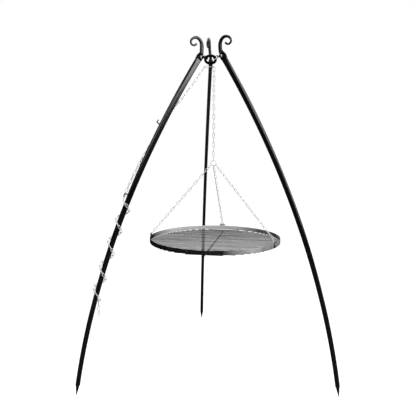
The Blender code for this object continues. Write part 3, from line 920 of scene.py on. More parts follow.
class LegLine:
    """The centre line of one leg, and directions along it."""

    def __init__(self, side: Side) -> None:
        """Measures the curve from the tip to the top.

        Args:
            side: Which leg.
        """
        plan = LEG_PLANS[side]
        self.plan = plan
        self.out = direction(plan.azimuth)
        self.side = direction(plan.azimuth + 90)
        self.rows: list[tuple[float, float, float, float]] = []
        step = LEG.length / LEG.steps
        radius, height = foot_radius(plan), 0.0
        for i in range(LEG.steps + 1):
            self.rows.append((i * step, radius, height, LEG.lean(1 - i / LEG.steps, plan.own)))
            middle = LEG.lean(1 - (i + 0.5) / LEG.steps, plan.own)
            radius -= step * math.sin(middle)
            height += step * math.cos(middle)
        self.end = LEG.length - LEG.short_top
        centre, normal, down = self.at(self.end)
        rise = LEG.cap_thick + 2 * GAP + LEG.eye_radius
        self.eye = centre - down * rise - normal * LEG.eye_inward

    def at(self, distance: float) -> tuple[Vector, Vector, Vector]:
        """Finds a place on the centre line.

        Args:
            distance: Place from the tip.

        Returns:
            The centre, the outward normal and the downward direction there.
        """
        step = self.rows[1][0]
        i = min(int(distance / step), len(self.rows) - 2)
        f = distance / step - i
        _, r, z, lean = (a + (b - a) * f for a, b in zip(self.rows[i], self.rows[i + 1]))
        normal = self.out * math.cos(lean) + UP * math.sin(lean)
        down = self.out * math.sin(lean) - UP * math.cos(lean)
        return CROWN + self.out * r + UP * z, normal, down

    def distance_at(self, height: float) -> float:
        """Finds where the centre line passes a height.

        Args:
            height: The height above the ground.

        Returns:
            The distance from the tip.
        """
        for low, high in zip(self.rows, self.rows[1:]):
            if low[2] <= height <= high[2]:
                return low[0] + (high[0] - low[0]) * (height - low[2]) / (high[2] - low[2])
        return LEG.length

    def depth(self, height: float) -> float:
        """The tube's size from its inner to its outer side at a height."""
        return LEG.depth_foot + (LEG.depth_top - LEG.depth_foot) * height / self.rows[-1][2]

    def ring(self, distance: float, inset: float = 0.0, along: float = 0.0, steps: int = 6) -> Points:
        """Points of the tube's section, close together where its flat sides meet the rounded corners.

        Args:
            distance: Place from the tip.
            inset: How far the section is drawn in.
            along: How far it is moved up the leg.
            steps: Steps in each corner.

        Returns:
            The points.
        """
        centre, normal, down = self.at(distance)
        centre = centre - down * along
        inset += LEG.slack
        depth, width = self.depth(centre.z) - 2 * inset, LEG.width - 2 * inset
        near = 0.8 * MM
        corner = max(near, LEG.corner - max(0.0, inset))
        points = []
        for cx, cy, start in ((1, 1, 0), (-1, 1, 90), (-1, -1, 180), (1, -1, 270)):
            wide = max(corner, LEG.outer_round * depth) if cx > 0 else corner
            x0, y0 = cx * (depth / 2 - wide), cy * (width / 2 - corner)
            row = []
            for k in range(steps + 1):
                a = math.radians(start + 90 * k / steps)
                row.append((x0 + wide * math.cos(a), y0 + corner * math.sin(a), a))
            first, last = row[0], row[-1]
            lead = (first[0] + near * math.sin(first[2]), first[1] - near * math.cos(first[2]))
            tail = (last[0] - near * math.sin(last[2]), last[1] + near * math.cos(last[2]))
            points += [lead] + [p[:2] for p in row] + [tail]
        return [centre + normal * x + self.side * y for x, y in points]


LINES = {side: LegLine(side) for side in Side}


@dataclass(frozen=True)
class ChainSizes:
    """The chain's links and the small wires that hold them."""

    width: float = 10.0 * MM
    pitch: float = 24.7 * MM
    bite: float = 2.0 * MM
    corner: float = 1.85 * MM
    wire: float = 1.5 * MM
    touch: float = 3.08 * MM
    join_wire: float = 2.5 * MM
    chain_x: float = 13.5 * MM
    lower_links: int = 6
    upper_links: int = 13


CHAIN = ChainSizes()


@dataclass(frozen=True)
class GrateSizes:
    """The grate, its lugs and the ring that gathers its chains."""

    offset: float = 23.5 * MM
    radius: float = 0.350
    top: float = 0.725
    height: float = 22.0 * MM
    thick: float = 3.0 * MM
    rod: float = 1.5 * MM
    pitch: float = 21.0 * MM
    bar: float = 4.0 * MM
    turn: float = -10.7
    lug_width: float = 32.0 * MM
    lug_thick: float = 3.0 * MM
    lug_above: float = 12.0 * MM
    lug_below: float = 20.0 * MM
    hole: float = 2.1 * MM
    hole_apart: float = 22.0 * MM
    hole_rise: float = 6.5 * MM
    bail: float = 1.5 * MM
    bail_rise: float = 20.0 * MM
    bail_lean: float = 14.0 * MM
    bail_flat: float = 4.5 * MM
    gather_rise: float = 0.395
    gather: float = 14.0 * MM
    gather_wire: float = 2.0 * MM

    @property
    def centre(self) -> Vector:
        """The middle of the rim's upper edge."""
        return CROWN + Vector((self.offset, 0.0, self.top))


GRATE = GrateSizes()
LUG_AZIMUTHS = {Side.LEFT: 172.0, Side.RIGHT: -31.0, Side.REAR: 81.0}
GATHER_ANGLES = {Side.LEFT: 213.0, Side.RIGHT: 327.0, Side.REAR: 270.0}


@dataclass(frozen=True)
class CrownSizes:
    """The centre ring and what hangs in it."""

    radius: float = 26.5 * MM
    wire: float = 6.5 * MM
    tilt: float = 40.0
    ring_x: float = -6.0 * MM
    drop: float = 10.1 * MM
    room: float = 8.0 * MM
    runner: float = 16.5 * MM
    runner_room: float = 1.6 * MM

    @property
    def height(self) -> float:
        """The centre ring's height."""
        return sum(line.eye.z for line in LINES.values()) / len(LINES) - self.drop

    @property
    def centre(self) -> Vector:
        """The centre ring's middle."""
        return CROWN + Vector((self.ring_x, 0.0, self.height))

    @property
    def second(self) -> Vector:
        """The ring's direction from its higher front to its lower back."""
        a = math.radians(self.tilt)
        return NORTH * math.cos(a) - UP * math.sin(a)

    def point(self, angle: float) -> tuple[Vector, Vector]:
        """A point on the ring's wire and the wire's direction there.

        Args:
            angle: Degrees round the ring from +X.

        Returns:
            The point and the unit direction.
        """
        a = math.radians(angle)
        place = self.centre + (EAST * math.cos(a) + self.second * math.sin(a)) * self.radius
        return place, self.second * math.cos(a) - EAST * math.sin(a)

    def tie_angle(self, side: Side) -> float:
        """Degrees round the ring at which a leg's links hold it."""
        reach = LINES[side].eye - self.centre
        return math.degrees(math.atan2(reach.dot(self.second), reach.x))

    @property
    def runner_centre(self) -> Vector:
        """The middle of the small ring that the chain runs through.

        Returns:
            The point, so that the small ring hangs on the centre ring beside the rear leg's links.
        """
        aside = math.degrees((2 * CHAIN.join_wire + self.runner_room) / self.radius)
        foot, _ = self.point(self.tie_angle(Side.REAR) - aside)
        top = foot.z + self.wire + CHAIN.join_wire + GAP
        return Vector((foot.x, foot.y, top - self.runner))


RING = CrownSizes()


# The finishes of this grill

BLACK_COAT = Finish(
    "black_coat",
    colour=(0.004, 0.004, 0.0045), cloudy=(0.007, 0.007, 0.0075),
    worn=(0.03, 0.03, 0.03), dusty=(0.02, 0.019, 0.018),
    metallic=0.0, roughness=0.19, roughness_swing=0.04, wear=0.20, dust=0.08,
    relief=0.10, grain=700.0, cloud=9.0, coat=0.25, coat_roughness=0.12, specular=0.5,
)
FORGED_COAT = Finish(
    "forged_black_coat",
    colour=(0.004, 0.004, 0.0045), cloudy=(0.008, 0.008, 0.008),
    worn=(0.04, 0.039, 0.038), dusty=(0.02, 0.019, 0.018),
    metallic=0.0, roughness=0.28, roughness_swing=0.07, wear=0.35, dust=0.10,
    relief=0.40, grain=260.0, cloud=22.0, coat=0.2, coat_roughness=0.18, specular=0.5,
)
MATT_COAT = Finish(
    "matt_black_coat",
    colour=(0.003, 0.003, 0.0033), cloudy=(0.005, 0.005, 0.0053),
    worn=(0.02, 0.02, 0.02), dusty=(0.012, 0.012, 0.011),
    metallic=0.0, roughness=0.45, roughness_swing=0.06, wear=0.20, dust=0.06,
    relief=0.30, grain=420.0, cloud=18.0, specular=0.04,
)
ZINC = Finish(
    "zinc_plate",
    colour=(0.80, 0.80, 0.81), cloudy=(0.88, 0.88, 0.89),
    worn=(0.92, 0.92, 0.93), dusty=(0.70, 0.69, 0.68),
    metallic=0.15, roughness=0.40, roughness_swing=0.08, wear=0.5, dust=0.12,
    relief=0.20, grain=1100.0, cloud=60.0,
)
ROD_STEEL = RodFinish(
    "rod_steel",
    colour=(0.22, 0.22, 0.222), cloudy=(0.31, 0.31, 0.313),
    worn=(0.44, 0.44, 0.445), dusty=(0.19, 0.187, 0.184),
    metallic=0.0, roughness=0.50, roughness_swing=0.06, wear=0.5, dust=0.20,
    relief=0.30, grain=900.0, cloud=18.0, specular=0.08,
    turn=GRATE.turn, along=1.6, across=34.0,
    streak=(0.03, 0.03, 0.031), depth=0.85,
)
# The rim's colour darkens towards three azimuths: painted shade for its dark reflections, with some heat
# stain.
RIM_STEEL = StainAndShadeFinish(
    "rim_steel",
    colour=(0.58, 0.58, 0.585), cloudy=(0.70, 0.70, 0.705),
    worn=(0.82, 0.82, 0.83), dusty=(0.46, 0.45, 0.44),
    metallic=0.0, roughness=0.45, roughness_swing=0.08, wear=0.5, dust=0.15,
    relief=0.25, grain=900.0, cloud=14.0, specular=0.0,
    centre=tuple(GRATE.centre - UP * (12.5 * MM)), radius=GRATE.radius,
    stain_and_shade=(0.006, 0.006, 0.007),
    sides=((220.0, 0.36, 0.24, 0.98), (22.0, 0.88, 0.12, 0.85), (330.0, 0.93, 0.06, 0.55)),
)
# A near-black steel for the cross bar under the rods.
BAR_STEEL = Finish(
    "near_black_bar_steel",
    colour=(0.012, 0.012, 0.012), cloudy=(0.02, 0.02, 0.02),
    worn=(0.06, 0.06, 0.06), dusty=(0.03, 0.03, 0.029),
    metallic=0.0, roughness=0.55, roughness_swing=0.06, wear=0.3, dust=0.15,
    relief=0.30, grain=700.0, cloud=18.0, specular=0.2,
)


# Chains


@dataclass(frozen=True)
class LinkPlace:
    """One link: its middle, the way it runs and the way it is wide."""

    centre: Vector
    along: Vector
    across: Vector


def straight_links(
    top: Vector, bottom: Vector, first: Vector, second: Vector, count: int,
) -> tuple[list[LinkPlace], float]:
    """Lays links on a straight line whose outer wires lie at its two ends.

    Args:
        top: The middle of the first end wire.
        bottom: The middle of the last end wire.
        first: The way the first link is wide.
        second: The way the next one is.
        count: Number of links.

    Returns:
        The places and the distance from one to the next.
    """
    run = bottom - top
    along = run.normalized()
    pitch = (run.length - CHAIN.touch) / count
    places = []
    for i in range(count):
        across = first if i % 2 == 0 else second
        across = (across - along * across.dot(along)).normalized()
        places.append(LinkPlace(top + along * (i * pitch + (pitch + CHAIN.touch) / 2), along, across))
    return places, pitch


def count_for(distance: float, parity: int) -> int:
    """Counts the links of a strand so that their pitch comes nearest to the nominal one.

    Args:
        distance: The strand's length.
        parity: 0 where the number must be even, 1 where it must be odd.

    Returns:
        The number of links.
    """
    best = round(distance / CHAIN.pitch)
    options = [n for n in (best - 1, best, best + 1) if n % 2 == parity]
    return min(options, key=lambda n: abs(distance / n - CHAIN.pitch))


@dataclass(frozen=True)
class ChainMaker:
    """Makes a strand as one piece: a Geometry Nodes tree puts one welded link on each point."""

    finish: Finish
    wire: float = CHAIN.wire
    swelling: float = 0.13
    sharpness: float = 330.0
    end_round: float = 0.499
    end_steps: int = 5
    stations: int = 28
    sides: int = 8

    def tree(self, name: str, pitch: float) -> GeometryTree:
        """Builds the strand's tree: a rounded link, swollen at its weld, on every point.

        Args:
            name: The tree's name.
            pitch: Distance from one link to the next.

        Returns:
            The tree.
        """
        g = GeometryTree(name + "_links")
        width = g.size("Link width", CHAIN.width)
        length = g.size("Link length", pitch + CHAIN.touch)
        wire = g.size("Wire radius", self.wire)
        swell = g.size("Weld swelling", self.swelling)
        outline = g.add("GeometryNodeCurvePrimitiveQuadrilateral", {"Width": width, "Height": length})
        bend = {"Curve": outline.outputs[0], "Radius": g.math("MULTIPLY", width, self.end_round)}
        fillet = g.add("GeometryNodeFilletCurve", {**bend, "Count": self.end_steps}, mode="POLY")
        links = {"Curve": fillet.outputs[0], "Count": self.stations}
        even = g.add("GeometryNodeResampleCurve", links, mode="COUNT")
        profile = g.circle(wire, self.sides)
        split = g.add("ShaderNodeSeparateXYZ", {0: g.add("GeometryNodeInputPosition").outputs[0]})
        off = g.math("ABSOLUTE", split.outputs["Y"])
        near = g.math("SUBTRACT", 1.0, g.math("MULTIPLY", off, self.sharpness))
        side = g.math("GREATER_THAN", split.outputs["X"], 0.0)
        bead = g.math("MULTIPLY", g.math("MAXIMUM", near, 0.0), g.math("MULTIPLY", side, swell))
        fat = g.add(
            "GeometryNodeSetCurveRadius", {"Curve": even.outputs[0], "Radius": g.math("ADD", 1.0, bead)},
        )
        thickened = g.add("GeometryNodeInputRadius").outputs[0]
        links = {"Curve": fat.outputs[0], "Profile Curve": profile, "Scale": thickened}
        link = g.add("GeometryNodeCurveToMesh", links)
        turn = g.add(
            "FunctionNodeAxesToRotation",
            {"Primary Axis": g.vector("along"), "Secondary Axis": g.vector("across")},
            primary_axis="Y", secondary_axis="X",
        )
        strand = g.spread(link.outputs[0], Rotation=turn.outputs[0])
        g.close(strand, self.finish.build())
        return g

    def make(self, name: str, places: Sequence[LinkPlace], pitch: float) -> bpy.types.Object:
        """Makes a strand.

        Args:
            name: The piece's name.
            places: One place per link.
            pitch: Distance from one link to the next.

        Returns:
            The strand as a plain mesh.
        """
        base = points_mesh(
            name, [p.centre for p in places],
            {"along": [p.along for p in places], "across": [p.across for p in places]},
        )
        return self.tree(name, pitch).make(name, base)

    def hang(self, name: str, places: Sequence[LinkPlace], pitch: float, body: str, *nodes: str) -> None:
        """Makes a strand of plated links, gives it its body and hides the nodes that it replaces."""
        settle(self.make(name, places, pitch), body, Slot.ZINC, self.finish, *nodes)


@dataclass(frozen=True)
class WeldMaker:
    """Lays rows of overlapping weld beads along lines, with Geometry Nodes."""

    finish: Finish
    bead: float = 1.5 * MM
    spacing: float = 1.3 * MM
    least: Place = (0.8, 0.8, 0.6)
    most: Place = (1.15, 1.15, 0.8625)

    def tree(self, name: str, seed: int) -> GeometryTree:
        """Builds the row's tree: the line is resampled and a bead of random size goes on each point.

        Args:
            name: The tree's name.
            seed: The random sizes' seed.

        Returns:
            The tree.
        """
        g = GeometryTree(name + "_beads")
        radius = g.size("Bead radius", self.bead)
        spacing = g.size("Spacing", self.spacing)
        fixed = g.size("Seed", seed, "Int")
        line = g.add("GeometryNodeMeshToCurve", {"Mesh": g.start.outputs["Geometry"]})
        row = g.add("GeometryNodeResampleCurve", {"Curve": line.outputs[0], "Length": spacing}, mode="LENGTH")
        ball = g.add("GeometryNodeMeshIcoSphere", {"Radius": radius, "Subdivisions": 2})
        links = {"Min": self.least, "Max": self.most, "Seed": fixed}
        size = g.add("FunctionNodeRandomValue", links, data_type="FLOAT_VECTOR")
        beads = g.spread(ball.outputs[0], row.outputs[0], Scale=size.outputs["Value"])
        g.close(beads, self.finish.build())
        return g

    def make(self, name: str, lines: Sequence[Points], seed: int) -> bpy.types.Object:
        """Makes the rows as one piece.

        Args:
            name: The piece's name.
            lines: The lines to weld along; a short one gets its two end beads.
            seed: The random sizes' seed.

        Returns:
            The piece as a plain mesh.
        """
        points, edges = [], []
        for line in lines:
            edges += [(len(points) + i, len(points) + i + 1) for i in range(len(line) - 1)]
            points += [tuple(p) for p in line]
        mesh = bpy.data.meshes.new(name)
        mesh.from_pydata(points, edges, [])
        return self.tree(name, seed).make(name, mesh)

    def lay(self, name: str, lines: Sequence[Points], seed: int, body: str, slot: Slot) -> None:
        """Makes the rows as one piece and gives it its body."""
        settle(self.make(name, lines, seed), body, slot, self.finish)


def fillet_line(points: Points, radius: float, steps: int = 5) -> Points:
    """Rounds the corners of an open line.

    Args:
        points: The line's corners.
        radius: How far from a corner its rounding starts.
        steps: Steps in each rounding.

    Returns:
        The line's points.
    """
    line = [points[0]]
    for before, corner, after in zip(points, points[1:], points[2:]):
        first, second = before - corner, after - corner
        start = corner + first.normalized() * min(radius, first.length * 0.45)
        end = corner + second.normalized() * min(radius, second.length * 0.45)
        for k in range(steps + 1):
            t = k / steps
            line.append(start * (1 - t) ** 2 + corner * (2 * t * (1 - t)) + end * t * t)
    return line + [points[-1]]


def wire_piece(
    name: str, path: Points, radius: float, sides: int, closed: bool = False,
) -> bpy.types.Object:
    """Makes a round wire of even thickness as an object."""
    return new_object(name, sweep(name, path, [radius] * len(path), sides, closed))


# Sub-assemblies


@dataclass
class LegAssembly:
    """One leg: bent tube, ground spike, end plate, eye and scroll, with its welds.

    The scroll's path goes out from the leg and up from the eye, in millimetres, and the scroll tapers from
    one point of it over the next few. A row of the foot's path has the same two, its radius and its half
    width.
    """

    side: Side
    stations: int = 56
    spike_length: float = 50.0 * MM
    spike_width: float = 18.1 * MM
    plug: float = 6.55 * MM
    spike_tip: float = 3.0 * MM
    spike_slack: float = 0.1 * MM
    shoulder: float = 4.0 * MM
    plug_length: float = 24.0 * MM
    edge: float = 0.7 * MM
    plate_edge: float = 0.8 * MM
    eye_edge: float = 1.4 * MM
    scroll_base: float = 11.0 * MM
    scroll_end: float = 5.4 * MM
    scroll_flat: float = 0.7
    scroll_drop: float = 2.4 * MM
    scroll_trim: float = 0.3 * MM
    scroll_steps: int = 96
    taper_from: int = 3
    taper_over: int = 8
    scroll_path: tuple[tuple[float, float], ...] = (
        (0, 0), (0, 25), (0, 40), (-0.5, 54), (1, 68), (6, 80), (15, 90), (27, 95.5), (40, 95), (51, 90),
        (59, 82), (62, 72), (59, 63), (51, 57.5), (42, 57), (34, 61), (30, 67),
    )
    foot_path: tuple[tuple[float, float, float, float], ...] = (
        (26.5, 2.0, 4.0, 7.6), (18.5, 7.0, 6.8, 7.6), (11.5, 12.0, 8.0, 7.2), (5.0, 18.0, 8.0, 6.8),
        (0.5, 26.0, 7.5, 6.6),
    )
    foot_steps: int = 24
    collar: float = 7.0 * MM
    eye_swell: float = 1.6 * MM
    eye_worn: float = 1.0 * MM
    lower_weld: float = 5.0 * MM
    upper_weld: float = 4.5 * MM
    coat: Finish = BLACK_COAT
    forged: Finish = FORGED_COAT
    matt: Finish = MATT_COAT

    @property
    def line(self) -> LegLine:
        """The leg's centre line."""
        return LINES[self.side]

    @property
    def body(self) -> str:
        """The body that the leg is."""
        return f"leg_{self.side.value}"

    def piece(self, label: str, mesh: bpy.types.Mesh, finish: Finish, *nodes: str) -> None:
        """Makes one piece of the leg from a mesh."""
        settle(new_object(f"{self.body}_{label}", mesh), self.body, Slot.BLACK, finish, *nodes)

    def tube(self) -> None:
        """Lofts the bent, tapering tube, with rounded ends and an inner wall."""
        line, low, edge = self.line, self.spike_length, self.edge
        places = [low + (line.end - low) * i / (self.stations - 1) for i in range(self.stations)]
        places[1:1] = [low + 0.35 * edge, low + edge]
        places[-1:-1] = [line.end - edge, line.end - 0.35 * edge]
        insets = [0.7 * edge, 0.2 * edge] + [0.0] * (len(places) - 4) + [0.2 * edge, 0.7 * edge]
        rings = [line.ring(s, inset) for s, inset in zip(places, insets)]
        inner = [line.ring(s, LEG.wall) for s in places[:: 3]] + [line.ring(places[-1], LEG.wall)]
        mesh = skin("tube", rings + inner[::-1], closed=True)
        self.piece("bent_tube", mesh, self.coat, f"{self.body}_tube")

    def spike(self) -> None:
        """Turns the ground spike, with a rounded shoulder and a worn tip."""
        tip, _, _ = self.line.at(0.0)
        top, _, _ = self.line.at(self.spike_length)
        reach = (top - tip).length - GAP
        half, end = self.spike_width / 2 - self.spike_slack, self.spike_tip / 2 - 0.3 * MM
        band, plug = reach - self.shoulder, reach + self.plug_length
        profile = [
            (0.0, 0.0), (end * 0.6, 0.0), (end, 0.3 * MM), (end + 0.4 * MM, 3 * MM),
            (half * 0.62, reach * 0.5), (half * 0.9, band - 4 * MM), (half - 0.3 * MM, band - 0.6 * MM),
            (half, band), (half, reach - 0.8 * MM), (half - 0.5 * MM, reach),
            (self.plug, reach), (self.plug, plug), (0.0, plug),
        ]
        mesh = lathe("spike", profile, tip, (top - tip).normalized(), 28)
        self.piece("ground_spike", mesh, self.forged, f"{self.body}_spike")

    def cap(self) -> None:
        """Lofts the end plate with rounded edges and the collar that runs down from it over the tube."""
        line, proud, e = self.line, LEG.cap_proud, self.plate_edge
        low, high = -self.collar, LEG.cap_thick
        steps = (
            (e, low), (0.3 * e, low + 0.25 * e), (0.0, low + e),
            (0.0, high - e), (0.3 * e, high - 0.25 * e), (e, high),
        )
        rings = [line.ring(line.end, inset - proud, GAP + rise) for inset, rise in steps]
        self.piece("end_plate", skin("cap", rings), self.matt, f"{self.body}_cap")

    def eye(self) -> None:
        """Turns the eye, its rims rounded and its bore slightly worn open."""
        half = LEG.eye_thick / 2
        hole, outer = LEG.eye_hole + self.eye_worn, LEG.eye_radius + self.eye_swell
        section = ring_section(hole, outer, -half, half, self.eye_edge, 4)
        mesh = lathe("eye", section, self.line.eye, self.line.side, 48, True)
        self.piece("hanging_eye", mesh, self.matt, f"{self.body}_eye")

    def scroll(self) -> None:
        """Sweeps the forged scroll, drawn down towards its end."""
        plan, eye = self.line.plan, self.line.eye
        out = direction(plan.azimuth + plan.turn)
        path = []
        for i, (x, z) in enumerate(self.scroll_path):
            rise = z * MM + plan.extra if i > 0 else LEG.eye_radius + GAP
            aside = plan.shift * min(1.0, 0.4 + i * 0.3)
            path.append([*(eye + out * (x * MM) + EAST * aside + UP * rise)])
        smooth = [Vector(row) for row in catmull(path, self.scroll_steps)]
        last = len(self.scroll_path) - 1
        radii, flats = [], []
        for k in range(len(smooth)):
            share = min(1.0, max(0.0, k / self.scroll_steps * last - self.taper_from) / self.taper_over)
            radii.append(self.scroll_base + (self.scroll_end - self.scroll_base) * share - self.scroll_trim)
            flats.append(self.scroll_flat + (1.0 - self.scroll_flat) * share)
            smooth[k] -= UP * (self.scroll_drop * min(1.0, k / len(smooth) * 4))
        mesh = sweep("scroll", smooth, radii, 22, flat=flats, lead=out)
        self.piece("scroll_rod", mesh, self.forged, f"{self.body}_scroll")

    def scroll_foot(self) -> None:
        """Sweeps the foot that the scroll's bar spreads into, down to the end plate's outer corner."""
        line = self.line
        smooth = catmull(self.foot_path, self.foot_steps)
        path = [line.eye + line.out * (x * MM) + UP * (z * MM) for x, z, _, _ in smooth]
        radii = [r * MM for _, _, r, _ in smooth]
        flats = [w / r for _, _, r, w in smooth]
        mesh = sweep("foot", path, radii, 20, flat=flats, lead=(line.out + UP).normalized())
        self.piece("scroll_foot", mesh, self.matt)

    def welds(self) -> None:
        """Lays the welds between the plate, the eye and the scroll."""
        line = self.line
        _, normal, down = line.at(line.end)
        half = LEG.eye_thick / 2 + 0.3 * MM
        seat = line.eye + down * (LEG.eye_radius - 0.6 * MM)
        base = line.eye + UP * (LEG.eye_radius - 0.4 * MM)
        rows = [
            [foot + line.side * (s * half) + along * x for x in (-reach, 0.0, reach)]
            for foot, along, reach in ((seat, normal, self.lower_weld), (base, line.out, self.upper_weld))
            for s in (-1, 1)
        ]
        WeldMaker(self.matt).lay(f"{self.body}_crown_welds", rows, 3, self.body, Slot.BLACK)

    def build(self) -> None:
        """Makes the leg's pieces."""
        for step in (self.tube, self.spike, self.cap, self.eye, self.scroll, self.scroll_foot, self.welds):
            step()


@dataclass
class LegHooks:
    """The two bent rods on the left leg that the chain hooks on."""

    wire: float = 3.0 * MM
    reach: float = 17.0 * MM
    turn: float = 16.0 * MM
    tip_back: float = 2.0 * MM
    bend: float = 6.0 * MM
    upper_drop: float = 0.3375
    lower_drop: float = 0.6805
    finish: Finish = FORGED_COAT

    def hook(self, name: str, node: str, drop: float, lift: int) -> None:
        """Makes one hook and the weld round its foot.

        Args:
            name: The piece's name.
            node: The node that it stands for.
            drop: Its place below the centre ring.
            lift: 1 where it opens upward, -1 downward.
        """
        line = LINES[Side.LEFT]
        height = RING.height - drop
        centre, normal, down = line.at(line.distance_at(height))
        start = centre + normal * (line.depth(height) / 2 + 0.1 * MM)
        up = -down * lift
        shape = [(0, 0), (self.reach, 0), (self.reach - self.tip_back, self.turn)]
        path = fillet_line([start + normal * x + up * z for x, z in shape], self.bend, 8)
        settle(wire_piece(name, path, self.wire, 16), "leg_left", Slot.BLACK, self.finish, node)
        ring = circle(start + normal * 0.4 * MM, up, normal.cross(up), self.wire + 0.3 * MM, 16)
        weld = WeldMaker(self.finish, 1.3 * MM, 1.2 * MM)
        weld.lay(name + "_weld", [ring + ring[:1]], 5, "leg_left", Slot.BLACK)

    def build(self) -> None:
        """Makes both hooks."""
        self.hook("upper_chain_hook", "chain_hook_upper", self.upper_drop, 1)
        self.hook("lower_chain_hook", "chain_hook_lower", self.lower_drop, -1)


@dataclass
class CrownAssembly:
    """The centre ring, the links that tie the legs to it, and the small ring that carries the chain."""

    ring_swell: float = 0.4 * MM
    ring_steps: int = 96
    weld_at: int = 26
    weld_span: float = 2.5
    weld_swell: float = 0.05
    end_steps: int = 12
    finish: Finish = MATT_COAT
    bright_finish: Finish = ZINC

    def ring(self) -> None:
        """Makes the centre ring with the weld that closes it."""
        path = circle(RING.centre, EAST, RING.second, RING.radius, self.ring_steps)
        wire = RING.wire + self.ring_swell
        near = [max(0.0, 1 - abs(i - self.weld_at) / self.weld_span) for i in range(self.ring_steps)]
        radii = [wire * (1 + self.weld_swell * share) for share in near]
        obj = new_object("crown_ring", sweep("crown_ring", path, radii, 20, True))
        settle(obj, "crown", Slot.BLACK, self.finish, "centre_ring")

    def tie_links(self, side: Side) -> None:
        """Makes the two links that tie one leg's eye to the ring.

        Args:
            side: Which leg.
        """
        line = LINES[side]
        wire = CHAIN.join_wire
        point, along_ring = RING.point(RING.tie_angle(side))
        along = (point - line.eye).normalized()
        far = point + along * (RING.wire + wire + PIVOT_GAP)
        level = (line.side - along * line.side.dot(along)).normalized()
        width = LEG.eye_thick + 2 * wire + RING.room
        length = LEG.eye_radius + 3 * wire + 4 * PIVOT_GAP
        seat = line.eye + along * PIVOT_GAP
        outer = oval(seat + along * (length / 2), along, level, length, min(width, length), self.end_steps)
        start = seat + along * (length - 2 * wire - PIVOT_GAP)
        across = along.cross(along_ring).normalized()
        width = 2 * (RING.wire + wire + 2 * PIVOT_GAP)
        inner = oval((start + far) / 2, along, across, (far - start).length, width, self.end_steps)
        for label, path in (("outer", outer), ("inner", inner)):
            obj = wire_piece(f"tie_link_{side.value}_{label}", path, wire, 14, True)
            bright = side is Side.RIGHT and label == "inner"
            slot, finish = (Slot.ZINC, self.bright_finish) if bright else (Slot.BLACK, self.finish)
            settle(obj, "crown", slot, finish, f"crown_link_{side.value}_{label}")

    def runner(self) -> None:
        """Makes the small ring that the chain runs through."""
        path = circle(RING.runner_centre, NORTH, UP, RING.runner, 56)
        obj = wire_piece("runner_ring", path, CHAIN.join_wire, 14, True)
        settle(obj, "crown", Slot.BLACK, self.finish, "chain_runner_ring")

    def build(self) -> None:
        """Makes the crown's pieces."""
        self.ring()
        for side in Side:
            self.tie_links(side)
        self.runner()


@dataclass
class MainChain:
    """The chain from the small ring at the crown down to the ring that gathers the lower chains."""

    spare_links: int = 10
    spare_wire: float = 1.36 * MM
    finish: Finish = ZINC

    @property
    def right(self) -> Vector:
        """The middle of the end wire that the chain hangs on.

        Returns:
            The point, so that the link's two sides rest in the small ring.
        """
        reach = RING.runner - CHAIN.join_wire - CHAIN.wire - TOUCH_GAP
        drop = math.sqrt(reach * reach - (CHAIN.width / 2) ** 2)
        return Vector((CROWN.x + CHAIN.chain_x, RING.runner_centre.y, RING.runner_centre.z - drop))

    @property
    def left(self) -> Vector:
        """The middle of the other end wire of the links in the small ring."""
        return self.right - EAST * (2 * CHAIN.pitch + CHAIN.touch)

    @property
    def gather(self) -> Vector:
        """The middle of the gathering ring."""
        return Vector((self.right.x, self.right.y, GRATE.top + GRATE.gather_rise))

    def build(self) -> None:
        """Makes the strands, one for each body, and the spare links that show when the grate is let down."""
        maker = ChainMaker(self.finish)
        over, pitch = straight_links(self.right, self.left, NORTH, UP, 2)
        maker.hang("links_in_ring", over, pitch, "crown", "chain_over_ring")
        top = self.right + UP * CHAIN.touch
        end = self.gather + UP * (GRATE.gather - GRATE.gather_wire - CHAIN.wire - TOUCH_GAP)
        count = 1 + CHAIN.upper_links + CHAIN.lower_links
        places, pitch = straight_links(top, end, EAST, NORTH, count)
        LOG.info("main chain: %d links at %.2f mm", count, pitch / MM)
        split = 1 + CHAIN.upper_links
        strands = (
            ("first_hanging_link", places[:1], "chain_top", "chain_top_link"),
            ("main_chain_links", places[1:split], "chain_upper", "chain_upper"),
            ("main_chain_low_links", places[split:], "lift", "chain_lower"),
        )
        for name, part, body, node in strands:
            maker.hang(name, part, pitch, body, node)
        spare = ChainMaker(self.finish, self.spare_wire)
        spare.hang("main_chain_spare_links", places[split - self.spare_links:split], pitch, "lift")


